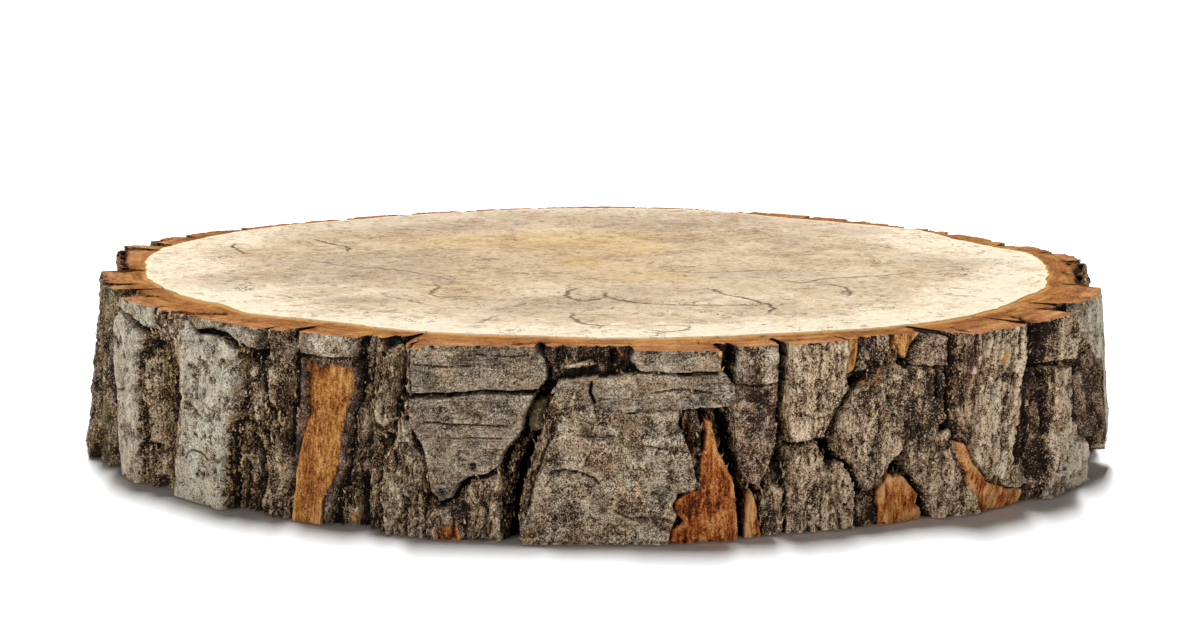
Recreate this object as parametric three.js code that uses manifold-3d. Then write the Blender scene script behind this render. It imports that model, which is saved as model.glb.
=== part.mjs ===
// Wood slice: one thick disc sawn from a log, with its bark still on.
// Wood, inner bark and bark plates grew as one piece, so they are one solid.
// Millimetres and degrees, +Z up. The origin is the middle of the underside, and the face
// that the plates below are numbered along looks towards -Y, which is 270 degrees.

import * as THREE from 'three';
import { mergeVertices } from 'three/addons/utils/BufferGeometryUtils.js';
import Module from 'manifold-3d';

const wasm = await Module();
wasm.setup();

// Driving dimensions
const thickness = 52; // between the two saw cuts
const barkShrink = 0.4; // the cut bark lies this far below the cut wood, on both faces
const top = thickness + 2; // plate outlines that the upper saw cut goes through end here
const base = -2; // and those that the lower cut goes through end here

// Outlines seen from above: a radius every 15 degrees, starting at +X
const tableStep = 15;
const woodRadius = [
  132, 134, 128, 130, 127.5, 135, 136.5, 136, 135, 138, 140.5, 140,
  134, 129.5, 123.5, 121, 118.5, 117.5, 119.5, 120.5, 124, 130, 130.5, 132,
];
const furrowRadiusTop = [
  140.5, 140, 133, 132.5, 131.5, 138, 139, 138.5, 137.5, 141, 147.5, 148,
  138.5, 137.5, 135.5, 131, 127.5, 126, 126, 130.5, 132, 138.5, 141.5, 142,
];
const furrowRadiusBase = [
  142, 146, 137, 135, 134, 140, 141, 140.5, 140, 143, 147, 150,
  144.5, 141, 136.5, 133.5, 131, 132, 132, 132.5, 132, 135.5, 141.5, 143,
];

// Furrow floor: fibrous ridges that run with the trunk
const ridge = { height: 1.3, around: 52, wander: 1.6, lean: 0.05 };
const core = { columns: 208, rows: 4 };

// A plate is a flat slab of bark. Its outline is [degrees, mm up]; reach is the radius of
// its outer face at its left and right ends, and flare what its lower end adds to that.
const plateInset = 0.5; // the outer face is this much smaller than the foot, all round
const plateRoot = 4; // the foot is sunk this far into the furrow floor
const barkPlates = [
  { name: 'left upper', reach: [148, 147.5], flare: 2, outline: [
    [181.5, top], [180.5, 42], [179.5, 30], [182, 24.5], [186, 28.5], [190, 34], [193, 41],
    [192.4, 47], [190.6, top]] },
  { name: 'left lower', reach: [153, 149.5], flare: 2, outline: [
    [178, base], [193.8, base], [194.3, 9], [193.8, 19], [190.5, 27.5], [188.5, 30.5],
    [186, 26], [182, 22], [178.5, 18], [176.8, 8]] },
  { name: 'pale upper', reach: [145.5, 142], flare: 0, outline: [
    [199.8, top], [198.6, 48.6], [200.8, 47.1], [204, 45.8], [206.8, 45], [207.1, 48],
    [207, top]] },
  { name: 'pale', reach: [146, 144], flare: 1, outline: [
    [198.3, 47.5], [196.5, 44], [195.9, 38], [195.2, 31], [196.1, 20], [195.6, 10],
    [196.6, base], [205, base], [205.2, 8], [204.8, 20], [203.8, 24], [202.6, 28.5],
    [203, 33], [203.8, 38], [205.6, 41], [206.6, 43.8], [204, 44.8], [201, 46.1]] },
  { name: 'sliver 1', reach: [141.5, 141], flare: 0, outline: [
    [207, 36], [206.7, 19], [207.6, 9], [208.4, 20], [208.7, 30], [208, 38]] },
  { name: 'sliver 2', reach: [141, 141.5], flare: 0, outline: [
    [209.3, 38], [209.2, 25], [209.5, 15], [210.4, 14], [210.9, 24], [210.7, 37],
    [210, 41]] },
  { name: 'chip 1', reach: [141, 140], flare: 0, outline: [
    [210.6, top], [210.9, 43], [212.3, 41.5], [213, top]] },
  { name: 'broad upper', reach: [139.5, 138.5], flare: 0.5, outline: [
    [214.3, top], [213.3, 46.7], [215.8, 47.8], [219, 48], [221.5, 46.8], [223.5, 45.6],
    [225.5, 45.1], [226.6, 47.5], [226.8, top]] },
  { name: 'broad', reach: [142, 141.5], flare: 2, outline: [
    [213.2, 45.1], [213.8, 36], [214.7, 27], [213.6, 20], [213.4, 8], [212.8, base],
    [223.4, base], [223.5, 7], [222.9, 15], [223.2, 20], [223.8, 26], [224.7, 31],
    [223.9, 36], [224.4, 42], [223.6, 44.3], [221.4, 45.4], [219, 46.7], [215.5, 46.6]] },
  { name: 'flake 1', reach: [137, 136], flare: 0, outline: [
    [226.2, 38], [225.8, 30], [226.3, 21], [227.6, 19.5], [228.1, 30], [227.6, 40]] },
  { name: 'flake 2', reach: [136, 136], flare: 1, outline: [
    [228.4, 24], [228, 12], [228.5, 2], [230.3, 4], [230.6, 20]] },
  { name: 'flake 3', reach: [134.5, 134], flare: 0, outline: [
    [228.6, top], [228.4, 42], [229.5, 33], [230.6, 40], [230.6, top]] },
  { name: 'flake 4', reach: [135.5, 135], flare: 1, outline: [
    [230.9, 26], [230.8, 14], [231.4, 3], [233, 6], [232.9, 24]] },
  { name: 'cap slab', reach: [135, 134.5], flare: 0.5, outline: [
    [233, top], [232.9, 48.5], [233.4, 45.8], [236, 45.3], [240.6, 46.2], [241.2, 48.5],
    [241, top]] },
  { name: 'window left rim', reach: [134, 134], flare: 1, outline: [
    [233, 44.6], [233.1, 37], [233.5, 30], [232.7, 24], [232.2, 16], [232.2, 6],
    [233.1, 6], [233.3, 18], [234, 23], [234.6, 28], [234.7, 36], [234.6, 44.2]] },
  { name: 'window', bast: true, reach: [131.5, 131.5], flare: 5, outline: [
    [233, base], [232.8, 10], [233, 20], [234.6, 28], [234.6, 45.5], [240.4, 45.5],
    [240.6, 39], [239.5, 28], [239, 18], [238.2, 11], [237.4, base]] },
  { name: 'window right rim', reach: [133.5, 134], flare: 3, outline: [
    [240.9, 45.2], [240.7, 40], [240, 33], [239.5, 26], [239.2, 19], [238.6, 13],
    [237.6, 7.5], [237.4, base], [238.4, base], [239, 6.5], [240, 12], [240.4, 20],
    [240.9, 30], [241.7, 38], [241.7, 45]] },
  { name: 'flake 5', reach: [131.5, 131.5], flare: 2, outline: [
    [243.7, 50], [243.5, 38], [243.9, 26], [245.2, 28], [245.7, 38], [245.4, 50]] },
  { name: 'flake 6', reach: [134, 135], flare: 2, outline: [
    [245.6, 34], [245.3, 16], [245.8, 3], [247.2, 4], [247.5, 18], [246.9, 32]] },
  { name: 'layered edge', reach: [133.5, 134.5], flare: 4, outline: [
    [247.8, top], [247.4, 40], [247.7, 26], [247.9, 14], [247.7, base], [250.4, base],
    [250.2, 9], [249.7, 20], [248.6, 30], [248.6, 41], [248.7, top]] },
  { name: 'grey upper', reach: [138, 133.5], flare: 0.5, outline: [
    [249, top], [248.8, 45], [249.1, 38.9], [252.5, 39.1], [257, 40.1], [260.8, 40.3],
    [263.2, 41], [264.2, 43.5], [264.3, 48], [263.1, 50.2], [262, top]] },
  { name: 'grey lower', reach: [139, 136.5], flare: 2, outline: [
    [248.9, 37.1], [249.1, 30], [250.3, 25], [250.9, 20], [251.3, 13.2], [252.3, 10.2],
    [253.5, 11.2], [254.2, 15], [255.4, 17.2], [257.6, 18.2], [258.8, 20.6], [259.4, 24.5],
    [260.3, 27], [261.3, 30], [261.7, 33.5], [262.6, 38.2], [260.5, 38.6], [256.5, 38.3],
    [252, 37.3]] },
  { name: 'under grey', reach: [137.5, 134.5], flare: 4, outline: [
    [250.6, base], [259.3, base], [259.1, 8], [259.4, 15], [258.8, 19.2], [257.5, 17],
    [255.7, 16], [254.8, 12], [253.8, 9.6], [252.2, 8.8], [251, 11]] },
  { name: 'mossy knob', reach: [131, 130.5], flare: 1, outline: [
    [262, 36.6], [261.9, 31], [263, 29.4], [264.2, 32], [264.5, 37]] },
  { name: 'dusty', reach: [140, 141.5], flare: 1.5, outline: [
    [267, 37.2], [265.6, 34.5], [265.2, 31], [264.2, 26], [263.5, 20], [262.7, 14],
    [262.1, 8], [261.2, 4], [261.6, base], [277.2, base], [277.6, 4], [278.3, 8],
    [277.9, 11], [278.4, 13.8], [280.2, 14.6], [280.7, 16.5], [280, 22], [279.3, 27],
    [278.6, 32], [278.3, 35], [276, 35], [273.5, 34.6], [271.5, 34.8], [269.5, 36.6]] },
  { name: 'ledge', reach: [138, 142.5], flare: 0.5, outline: [
    [265.3, 43.2], [265, 40], [265.6, 36.8], [269.5, 36.3], [272.2, 35.7], [275, 35.8],
    [278.2, 36.1], [281, 36.6], [283.6, 37], [284.3, 38.2], [284.1, 42.5], [283.3, 45.1],
    [281, 44.6], [278, 44.6], [274.5, 45.2], [271.5, 43.9], [268, 44.3]] },
  { name: 'brick', reach: [138.5, 142.5], flare: 0, outline: [
    [273.6, top], [273.2, 48.7], [274.5, 46.6], [278, 46.5], [282.7, 47], [282.8, top]] },
  { name: 'bast wedge', bast: true, reach: [139.5, 138.5], flare: 1, outline: [
    [277.3, base], [277.7, 4], [278.5, 8], [278, 11], [278.6, 14], [280.7, 15.5],
    [280.6, 21], [280.8, 27], [281.2, 32.5], [281.9, 28], [282.8, 23.5], [284.4, 18.5],
    [285.2, 12], [285.8, 6], [286.1, base]] },
  { name: 'purple tongue', reach: [137, 138], flare: -1, outline: [
    [285.2, top], [285.1, 42], [285.4, 30], [286, 20], [286.6, 14.4], [287.6, 12.8],
    [288.9, 14.2], [289.6, 20], [289.8, 30], [290, 40], [289.9, top]] },
  { name: 'bast fibres', bast: true, reach: [135, 134], flare: 0, outline: [
    [286.5, base], [286.3, 8.5], [287.3, 11], [288.4, 9], [289, base]] },
  { name: 'tongue foot', reach: [134, 134], flare: 0, outline: [
    [289.3, base], [289.4, 8], [290, 13], [291, 12], [291.1, base]] },
  { name: 'speckled', reach: [139, 139], flare: 0, outline: [
    [290.8, top], [291, 38], [291.4, 28], [292, 25], [293.8, 25.3], [295.4, 26.1],
    [296.1, 28.2], [296.9, 31], [297.9, 35], [298.6, 39], [298.3, 42], [298.5, 47],
    [298.2, top]] },
  { name: 'speckled foot', reach: [135.5, 138], flare: 0, outline: [
    [291.6, 23.6], [291.4, 12], [291.5, base], [299.8, base], [299.9, 5], [299.7, 11],
    [298.9, 15.5], [298.2, 19], [296.2, 19.4], [295.6, 22], [295.2, 24.6], [293.8, 24]] },
  { name: 'speckled right', reach: [139.5, 140], flare: 0, outline: [
    [299.2, 37.8], [298.3, 34], [297.7, 30], [297.3, 25], [298, 20.6], [299.3, 17],
    [300.2, 12], [301.2, 9.5], [302.6, 12], [304.2, 16.6], [306.3, 20.5], [306.9, 28],
    [306.4, 38], [304.6, 42.2], [302.6, 42], [301, 40]] },
  { name: 'bast streak', bast: true, reach: [137, 136.5], flare: 0, outline: [
    [298.9, top], [298.8, 41.4], [299.6, 42], [300.1, 47], [300.5, top]] },
  { name: 'brown shelf', reach: [135.5, 136], flare: 0, outline: [
    [300.8, top], [300.5, 48], [300.3, 43.2], [302.5, 43], [304.4, 46], [304.6, top]] },
  { name: 'bast funnel', bast: true, reach: [137, 138.5], flare: -1, outline: [
    [304.9, top], [305.1, 49.5], [306, 46.5], [306.7, 44.3], [307.5, 48.6], [308.9, top]] },
  { name: 'lower rubble', reach: [135, 135.5], flare: 0, outline: [
    [300.5, base], [300.2, 8], [301.5, 10.2], [303, 9.4], [302.9, base]] },
  { name: 'bast foot', bast: true, reach: [138, 137.5], flare: 0, outline: [
    [303.4, base], [303.4, 9], [303.9, 12], [305.2, 13.6], [306.7, 12.8], [307.7, 10.3],
    [309.2, 7.3], [310.7, 5], [310.5, 2], [309.7, base]] },
  { name: 'leaning', reach: [139.5, 142], flare: 0, outline: [
    [307.1, 33], [306.7, 26], [307.1, 19], [307.9, 15], [308.9, 11.7], [311.2, 6.2],
    [311.9, base], [315, base], [313.4, 9], [311.8, 18], [310.7, 27], [309.5, 34]] },
  { name: 'right', reach: [151, 153], flare: -7, outline: [
    [311.2, top], [311.3, 44], [311.9, 36.5], [312.6, 30], [313.2, 24.5], [314.2, 18.5],
    [315.6, 13], [317.2, 8.2], [318.7, 5.8], [321.2, 4.1], [323.9, 3.9], [324.8, 5.4],
    [324.2, 8], [323, 12.5], [322.2, 18], [321.2, 24], [320.5, 28], [320.3, 34],
    [319.8, 40], [319.3, 45.5], [319.7, 49.5], [319.2, top]] },
  { name: 'bast toe', bast: true, reach: [144, 144.5], flare: 0, outline: [
    [316, base], [317, 5], [318.7, 6.4], [321.2, 4.6], [324, 4.2], [323.2, 1.3],
    [321.7, base]] },
  { name: 'furrow shelf', reach: [147, 148], flare: 0, outline: [
    [322.8, 50.5], [322.9, 40], [326, 39.6], [325.8, 50]] },
  { name: 'furrow shelf lower', reach: [144, 145], flare: 0, outline: [
    [323.4, 37], [323, 28], [323.8, 18], [324.9, 8], [325.5, base], [327.6, base],
    [327.3, 14], [326.6, 26], [326.2, 37]] },
  { name: 'tan upper', reach: [152.5, 153], flare: 0, outline: [
    [326.4, top], [326.3, 46], [326.2, 39.8], [328, 39.4], [331.5, 38.9], [332.6, 41],
    [332.3, 47], [331.3, top]] },
  { name: 'tan', reach: [152, 151.5], flare: -2, outline: [
    [326.9, 37.4], [327.3, 26], [327.7, 18], [328.2, 10], [328.6, base], [338.3, base],
    [337.6, 10], [335.2, 14.4], [334.1, 18], [333.7, 24], [333.3, 30], [332.7, 35.8],
    [331.5, 36.9], [328.5, 37.7]] },
  { name: 'outer right', reach: [149, 149.5], flare: 1, outline: [
    [336.6, top], [335.9, 38], [336.6, 25], [339, 17], [343, 13], [347, 16.5],
    [349.3, 26], [349, 40], [347.9, top]] },
  { name: 'outer right foot', reach: [149, 149.5], flare: 1, outline: [
    [339.2, base], [338.9, 6], [340.2, 10.6], [343.2, 11.4], [347.4, 14.4], [350, 21],
    [354, 15], [354.4, base]] },
  { name: 'edge', reach: [144, 145], flare: 2, outline: [
    [350.7, 49], [351, 30], [353.2, 19], [355.5, 15.5], [358.3, 12], [359, 30],
    [358.2, 49.5]] },
  { name: 'edge foot', reach: [150, 151.5], flare: 2, outline: [
    [355.7, base], [355.6, 12], [359, 9.5], [361.5, 13.5], [363, 12], [364, base]] },
];

// Behind, each column of plates is a span in degrees with the reach of its two edges.
const backColumns = [
  [359.7, 366.5, 145, 147], [367.2, 374, 147.5, 145.5], [374.8, 381, 144.5, 142.5],
  [26.5, 34, 138.5, 137.5], [34.7, 41, 137.5, 136.5], [45.5, 53, 136, 136.5],
  [53.7, 60.5, 137, 138], [61.1, 68.8, 138.5, 139.5], [75, 83, 141, 142.5],
  [83.7, 90.5, 143, 143.5], [91.1, 98.2, 143.5, 142], [98.9, 108, 142, 140.5],
  [110.2, 117, 140.5, 141], [117.7, 125, 141, 141.5], [127.5, 134, 142, 143],
  [134.6, 141, 143.5, 145], [143.6, 150.2, 148.5, 151], [150.9, 158.2, 152, 154.5],
  [159.3, 166.8, 155, 152.5], [168.2, 176.2, 151, 150],
];
const backRule = {
  firstCrack: 10, crackRange: 30, secondCrackAbove: 0.5, // where a column breaks across
  crackGap: 1.1, crackTilt: 5, edgeStep: 8.5, edgeJitter: 0.3,
  furrowSway: 1.1, furrowWave: 48, furrowWiden: 0.5, // the furrows between columns
  flare: 2, bastShare: 0.12,
};

// A fissure is a V-shaped cleft along a path of [degrees, mm up], cut down to its depth.
const fissureWidth = 4.2;
const fissures = [
  { depth: 8, path: [[177.6, base], [178, 20], [178.6, 36], [178.8, top]] },
  { depth: 6, path: [[195, base], [194.8, 26], [194, 40], [194.6, top]] },
  { depth: 5, path: [[211.4, base], [211, 20], [211.5, 36], [210, top]] },
  { depth: 4, path: [[224.6, base], [225.4, 14], [225, 34], [226.3, 44]] },
  { depth: 5, path: [[231.6, 8], [231.2, 26], [231.8, 40], [231.9, top]] },
  { depth: 4, path: [[242.2, base], [241.6, 18], [242.3, 38], [242.4, top]] },
  { depth: 5, path: [[246.6, 34], [246.9, 44], [246.6, top]] },
  { depth: 7, path: [[260.2, base], [260.6, 16], [261.8, 24], [263, 29]] },
  { depth: 6, path: [[266, 50], [269.5, 47.5], [272.2, 50]] },
  { depth: 7, path: [[286.2, 4], [284.6, 22], [283.4, 34]] },
  { depth: 6, path: [[290.4, 14], [290.4, 34], [290.4, top]] },
  { depth: 5, path: [[296.6, 20], [297, 27], [299.2, 39]] },
  { depth: 6, path: [[305.6, 17], [307, 14.5]] },
  { depth: 7, path: [[310.5, 34], [310.4, 44], [310.2, top]] },
  { depth: 9, path: [[322.6, 20], [321.8, 32], [321.2, 42], [321, top]] },
  { depth: 6, path: [[334.8, 18], [334.6, 32], [334, 44], [334.2, top]] },
  { depth: 6, path: [[350, 26], [350, 40], [349.4, top]] },
  { depth: 4, path: [[23.6, base], [24.2, 22], [23.4, top]] },
  { depth: 4, path: [[43.4, base], [42.8, 22], [43.2, top]] },
  { depth: 2, path: [[71.6, base], [72.4, 26], [71.8, top]] },
  { depth: 2, path: [[109, base], [109.4, 26], [109.1, top]] },
  { depth: 2, path: [[126.4, base], [126, 26], [126.4, top]] },
  { depth: 4, path: [[142.2, base], [142.6, 26], [142.2, top]] },
];

// Colours, for the cut wood, the cut bark, bared inner bark, plates and furrows
const colours = {
  wood: new THREE.Color(0xe6cfab),
  cutBark: new THREE.Color(0xa5662f),
  bast: new THREE.Color(0x9a5626),
  plate: new THREE.Color(0x8a8377),
  furrow: new THREE.Color(0x43362a),
};

const radians = THREE.MathUtils.degToRad;

// A repeatable random number from 0 to 1 for any whole number
function draw(n) {
  const x = Math.sin(n * 12.9898) * 43758.5453;
  return x - Math.floor(x);
}

// A smooth closed curve through a radius table
function radiusFrom(table, degrees) {
  const t = (((degrees % 360) + 360) % 360) / tableStep;
  const i = Math.floor(t);
  const f = t - i;
  const [a, b, c, d] = [-1, 0, 1, 2].map((k) => table[(i + k + table.length) % table.length]);
  return b + 0.5 * f * (c - a + f * (2 * a - 5 * b + 4 * c - d + f * (3 * (b - c) + d - a)));
}

function furrowRadius(degrees, z) {
  const up = THREE.MathUtils.clamp(z / thickness, 0, 1);
  return THREE.MathUtils.lerp(
    radiusFrom(furrowRadiusBase, degrees), radiusFrom(furrowRadiusTop, degrees), up);
}

function point(degrees, radius, z) {
  return new THREE.Vector3(
    radius * Math.cos(radians(degrees)), radius * Math.sin(radians(degrees)), z);
}

// A closed solid from its corners and faces
function solid(points, faces) {
  const geometry = new THREE.BufferGeometry().setFromPoints(points).setIndex(faces.flat());
  const merged = mergeVertices(geometry, 1e-4);
  return new wasm.Manifold(new wasm.Mesh({
    numProp: 3,
    vertProperties: merged.attributes.position.array,
    triVerts: new Uint32Array(merged.index.array),
  }));
}

// A disc between two heights whose rim follows radiusAt(degrees, z)
function disc(radiusAt, columns, rows, low, high) {
  const points = [];
  const faces = [];
  for (let row = 0; row <= rows; row++) {
    const z = low + ((high - low) * row) / rows;
    for (let i = 0; i < columns; i++) {
      const degrees = (360 * i) / columns;
      points.push(point(degrees, radiusAt(degrees, z), z));
    }
  }
  const floorCentre = points.push(new THREE.Vector3(0, 0, low)) - 1;
  const roofCentre = points.push(new THREE.Vector3(0, 0, high)) - 1;
  for (let i = 0; i < columns; i++) {
    const next = (i + 1) % columns;
    for (let row = 0; row < rows; row++) {
      const here = row * columns;
      const above = here + columns;
      faces.push([here + i, here + next, above + next], [here + i, above + next, above + i]);
    }
    faces.push([floorCentre, next, i], [roofCentre, rows * columns + i, rows * columns + next]);
  }
  return solid(points, faces);
}

// The outline moved inwards by plateInset, measured in mm along the bark
function insetOutline(outline, mmPerDegree) {
  const n = outline.length;
  return outline.map((here, i) => {
    const before = outline[(i + n - 1) % n];
    const after = outline[(i + 1) % n];
    const inward = new THREE.Vector2();
    for (const [from, to] of [[before, here], [here, after]]) {
      const edge = new THREE.Vector2((to[0] - from[0]) * mmPerDegree, to[1] - from[1]);
      inward.add(new THREE.Vector2(-edge.y, edge.x).normalize());
    }
    inward.normalize().multiplyScalar(plateInset);
    return [here[0] + inward.x / mmPerDegree, here[1] + inward.y];
  });
}

// The radius of a plate's flat outer face
function plateRadius(plate, degrees, z) {
  const ends = plate.outline.map(([a]) => a);
  const heights = plate.outline.map(([, h]) => h);
  const [left, right] = [Math.min(...ends), Math.max(...ends)];
  const [low, high] = [Math.min(...heights), Math.max(...heights)];
  const [p, q] = [point(left, plate.reach[0], 0), point(right, plate.reach[1], 0)];
  const normal = new THREE.Vector3(q.y - p.y, p.x - q.x, 0).normalize();
  const towards = point(degrees, 1, 0).dot(normal);
  return p.dot(normal) / towards + (plate.flare * (high - z)) / (high - low);
}

function plateSolid(plate) {
  const outline = plate.outline.map(([a, z]) => new THREE.Vector2(a, z));
  if (THREE.ShapeUtils.isClockWise(outline)) outline.reverse();
  const foot = outline.map((p) => [p.x, p.y]);
  const mmPerDegree = radians(1) * plate.reach[0];
  const face = insetOutline(foot, mmPerDegree);
  const n = foot.length;
  const points = [
    ...foot.map(([a, z]) => point(a, furrowRadius(a, z) - plateRoot, z)),
    ...face.map(([a, z]) => point(a, plateRadius(plate, a, z), z)),
  ];
  const faces = [];
  for (const [a, b, c] of THREE.ShapeUtils.triangulateShape(outline, [])) {
    faces.push([c, b, a], [n + a, n + b, n + c]);
  }
  for (let i = 0; i < n; i++) {
    const next = (i + 1) % n;
    faces.push([i, next, n + next], [i, n + next, n + i]);
  }
  return solid(points, faces);
}

// How far the furrow before a column sways sideways at a height, and how much it widens
function furrowSway(column, z) {
  const turn = (2 * Math.PI * z) / backRule.furrowWave;
  const sway = Math.sin(turn * (0.6 + draw(column)) + 2 * Math.PI * draw(column + 0.5));
  const widen = Math.sin(1.7 * turn + 2 * Math.PI * draw(column + 0.25));
  return [backRule.furrowSway * sway, backRule.furrowWiden * (1 + widen)];
}

// The plates behind: each column breaks across at one or two heights
function backPlates() {
  const rule = backRule;
  const plates = [];
  backColumns.forEach(([left, right, reachLeft, reachRight], column) => {
    const seed = 100 * (column + 1);
    const cracks = [rule.firstCrack + rule.crackRange * draw(seed)];
    if (draw(seed + 1) > rule.secondCrackAbove) {
      cracks.push(((cracks[0] + thickness / 2) % (thickness - 8)) + 4);
    }
    const ends = [base, ...cracks.sort((a, b) => a - b), top];
    const tilt = ends.map((end, k) =>
      (cracks.includes(end) ? rule.crackTilt * (draw(seed + 80 + k) - 0.5) : 0));
    for (let k = 0; k + 1 < ends.length; k++) {
      const side = (edge, outward) => {
        const low = ends[k] + outward * tilt[k] + (k > 0 ? rule.crackGap / 2 : 0);
        const last = k + 2 === ends.length;
        const high = ends[k + 1] + outward * tilt[k + 1] - (last ? 0 : rule.crackGap / 2);
        const steps = Math.max(1, Math.round((high - low) / rule.edgeStep));
        return Array.from({ length: steps + 1 }, (_, i) => {
          const z = low + ((high - low) * i) / steps;
          const [sway, widen] = furrowSway(outward > 0 ? column + 1 : column, z);
          const jitter = rule.edgeJitter * (2 * draw(seed + 30 * outward + 10 * k + i) - 1);
          return [edge + sway - outward * widen + jitter, z];
        });
      };
      plates.push({
        name: `back ${column}.${k}`,
        bast: draw(seed + 90 + k) < rule.bastShare,
        reach: [reachLeft, reachRight],
        flare: rule.flare,
        outline: [...side(right, 1), ...side(left, -1).reverse()],
      });
    }
  });
  return plates;
}

// A cleft with a V section along a path on the bark
function fissureSolid({ depth, path }) {
  const outside = 12; // how far the open side of the V stands clear of the furrow floor
  const points = [];
  const faces = [];
  path.forEach(([degrees, z]) => {
    const radius = furrowRadius(degrees, z);
    const half = THREE.MathUtils.radToDeg(fissureWidth / 2 / radius);
    points.push(point(degrees, radius - depth, z));
    points.push(point(degrees + half, radius, z), point(degrees + half, radius + outside, z));
    points.push(point(degrees - half, radius + outside, z), point(degrees - half, radius, z));
  });
  const around = 5;
  for (let k = 0; k + 1 < path.length; k++) {
    for (let i = 0; i < around; i++) {
      const j = (i + 1) % around;
      const [a, b] = [k * around + i, k * around + j];
      faces.push([a, b, b + around], [a, b + around, a + around]);
    }
  }
  const last = (path.length - 1) * around;
  for (let i = 1; i + 1 < around; i++) {
    faces.push([0, i + 1, i], [last, last + i, last + i + 1]);
  }
  const cleft = solid(points, faces);
  return cleft.volume() > 0 ? cleft : solid(points, faces.map(([a, b, c]) => [c, b, a]));
}

function ridged(degrees, z) {
  const a = radians(degrees);
  const wave = Math.sin(ridge.around * a + ridge.wander * Math.sin(5 * a + ridge.lean * z));
  return furrowRadius(degrees, z) + ridge.height * wave;
}

function sliceSolid(plates) {
  const wood = disc((a) => radiusFrom(woodRadius, a), 144, 1, 0, thickness);
  const barkHeights = [barkShrink, thickness - barkShrink];
  let bark = disc(ridged, core.columns, core.rows, ...barkHeights);
  for (const fissure of fissures) bark = bark.subtract(fissureSolid(fissure));
  const slab = disc(() => 200, 8, 1, ...barkHeights); // all that lies between the saw cuts
  for (const plate of plates) bark = bark.add(plateSolid(plate));
  return bark.intersect(slab).add(wood);
}

// Whether a spot on the bark lies inside an outline
function inside(outline, degrees, z) {
  let within = false;
  outline.forEach(([a, h], i) => {
    const [b, g] = outline[(i + 1) % outline.length];
    if (h > z !== g > z && degrees < a + ((b - a) * (z - h)) / (g - h)) within = !within;
  });
  return within;
}

function colourAt(middle, normal, plates) {
  const degrees = THREE.MathUtils.radToDeg(Math.atan2(middle.y, middle.x));
  const radius = Math.hypot(middle.x, middle.y);
  if (radius < radiusFrom(woodRadius, degrees) + 0.05) return colours.wood;
  if (Math.abs(normal.z) > 0.98 && Math.abs(middle.z - thickness / 2) > thickness / 2 - 1) {
    return colours.cutBark;
  }
  const turns = [degrees, degrees + 360];
  const plate = plates.find((p) => turns.some((a) => inside(p.outline, a, middle.z)));
  if (plate && plate.bast) return colours.bast;
  return plate && radius > furrowRadius(degrees, middle.z) + 1 ? colours.plate : colours.furrow;
}

// The finished solid as a geometry with a colour for each face
function geometryFrom(shape, plates) {
  const mesh = shape.getMesh();
  const indexed = new THREE.BufferGeometry()
    .setAttribute('position', new THREE.BufferAttribute(new Float32Array(mesh.vertProperties), 3))
    .setIndex(new THREE.BufferAttribute(new Uint32Array(mesh.triVerts), 1));
  const geometry = indexed.toNonIndexed();
  geometry.computeVertexNormals();
  const { position, normal } = geometry.attributes;
  const colour = new Float32Array(position.count * 3);
  for (let i = 0; i < position.count; i += 3) {
    const corners = [0, 1, 2].map((k) => new THREE.Vector3().fromBufferAttribute(position, i + k));
    const middle = corners[0].add(corners[1]).add(corners[2]).divideScalar(3);
    const facing = new THREE.Vector3().fromBufferAttribute(normal, i);
    const tint = colourAt(middle, facing, plates);
    for (let k = 0; k < 3; k++) tint.toArray(colour, (i + k) * 3);
  }
  geometry.setAttribute('color', new THREE.BufferAttribute(colour, 3));
  return geometry;
}

const allPlates = [...barkPlates, ...backPlates()];
const material = new THREE.MeshStandardMaterial({
  vertexColors: true, roughness: 0.9, metalness: 0 });
const slice = new THREE.Mesh(geometryFrom(sliceSolid(allPlates), allPlates), material);
slice.name = 'wood_slice';

const part = new THREE.Group();
part.add(slice);

export default part;
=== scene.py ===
import math

import bpy
import numpy as np
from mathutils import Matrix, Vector


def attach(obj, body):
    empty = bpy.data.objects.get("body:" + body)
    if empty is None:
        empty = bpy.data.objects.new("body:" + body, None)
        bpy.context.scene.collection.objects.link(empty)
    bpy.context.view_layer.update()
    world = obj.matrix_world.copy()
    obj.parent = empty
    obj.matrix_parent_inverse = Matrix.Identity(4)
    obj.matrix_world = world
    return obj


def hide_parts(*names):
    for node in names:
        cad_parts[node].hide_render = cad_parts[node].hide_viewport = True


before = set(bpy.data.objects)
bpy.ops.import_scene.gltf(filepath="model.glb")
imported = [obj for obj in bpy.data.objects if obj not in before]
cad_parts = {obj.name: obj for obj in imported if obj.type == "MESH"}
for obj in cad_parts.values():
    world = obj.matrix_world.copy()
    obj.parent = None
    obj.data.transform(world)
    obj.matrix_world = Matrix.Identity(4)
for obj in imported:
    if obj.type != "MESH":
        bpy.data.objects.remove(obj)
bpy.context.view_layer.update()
scene = bpy.context.scene

# Everything below is worked out in millimetres and degrees round the trunk (0 is +X, 270
# is the front), and turned to metres when a mesh is made.
metres = 0.001
slab = {
    "thickness": 52.0,      # between the two saw cuts
    "barkShrink": 0.4,      # the cut bark lies this far below the cut wood
    "front": -140.3,        # nothing stands out past this towards the camera
    "back": 144.8,          # or past this behind
    "meanRadius": 140}
mmPerDegree = math.radians(1) * slab["meanRadius"]
top = slab["thickness"] + 2     # plates that a saw cut goes through reach past it
base = -2

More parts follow.
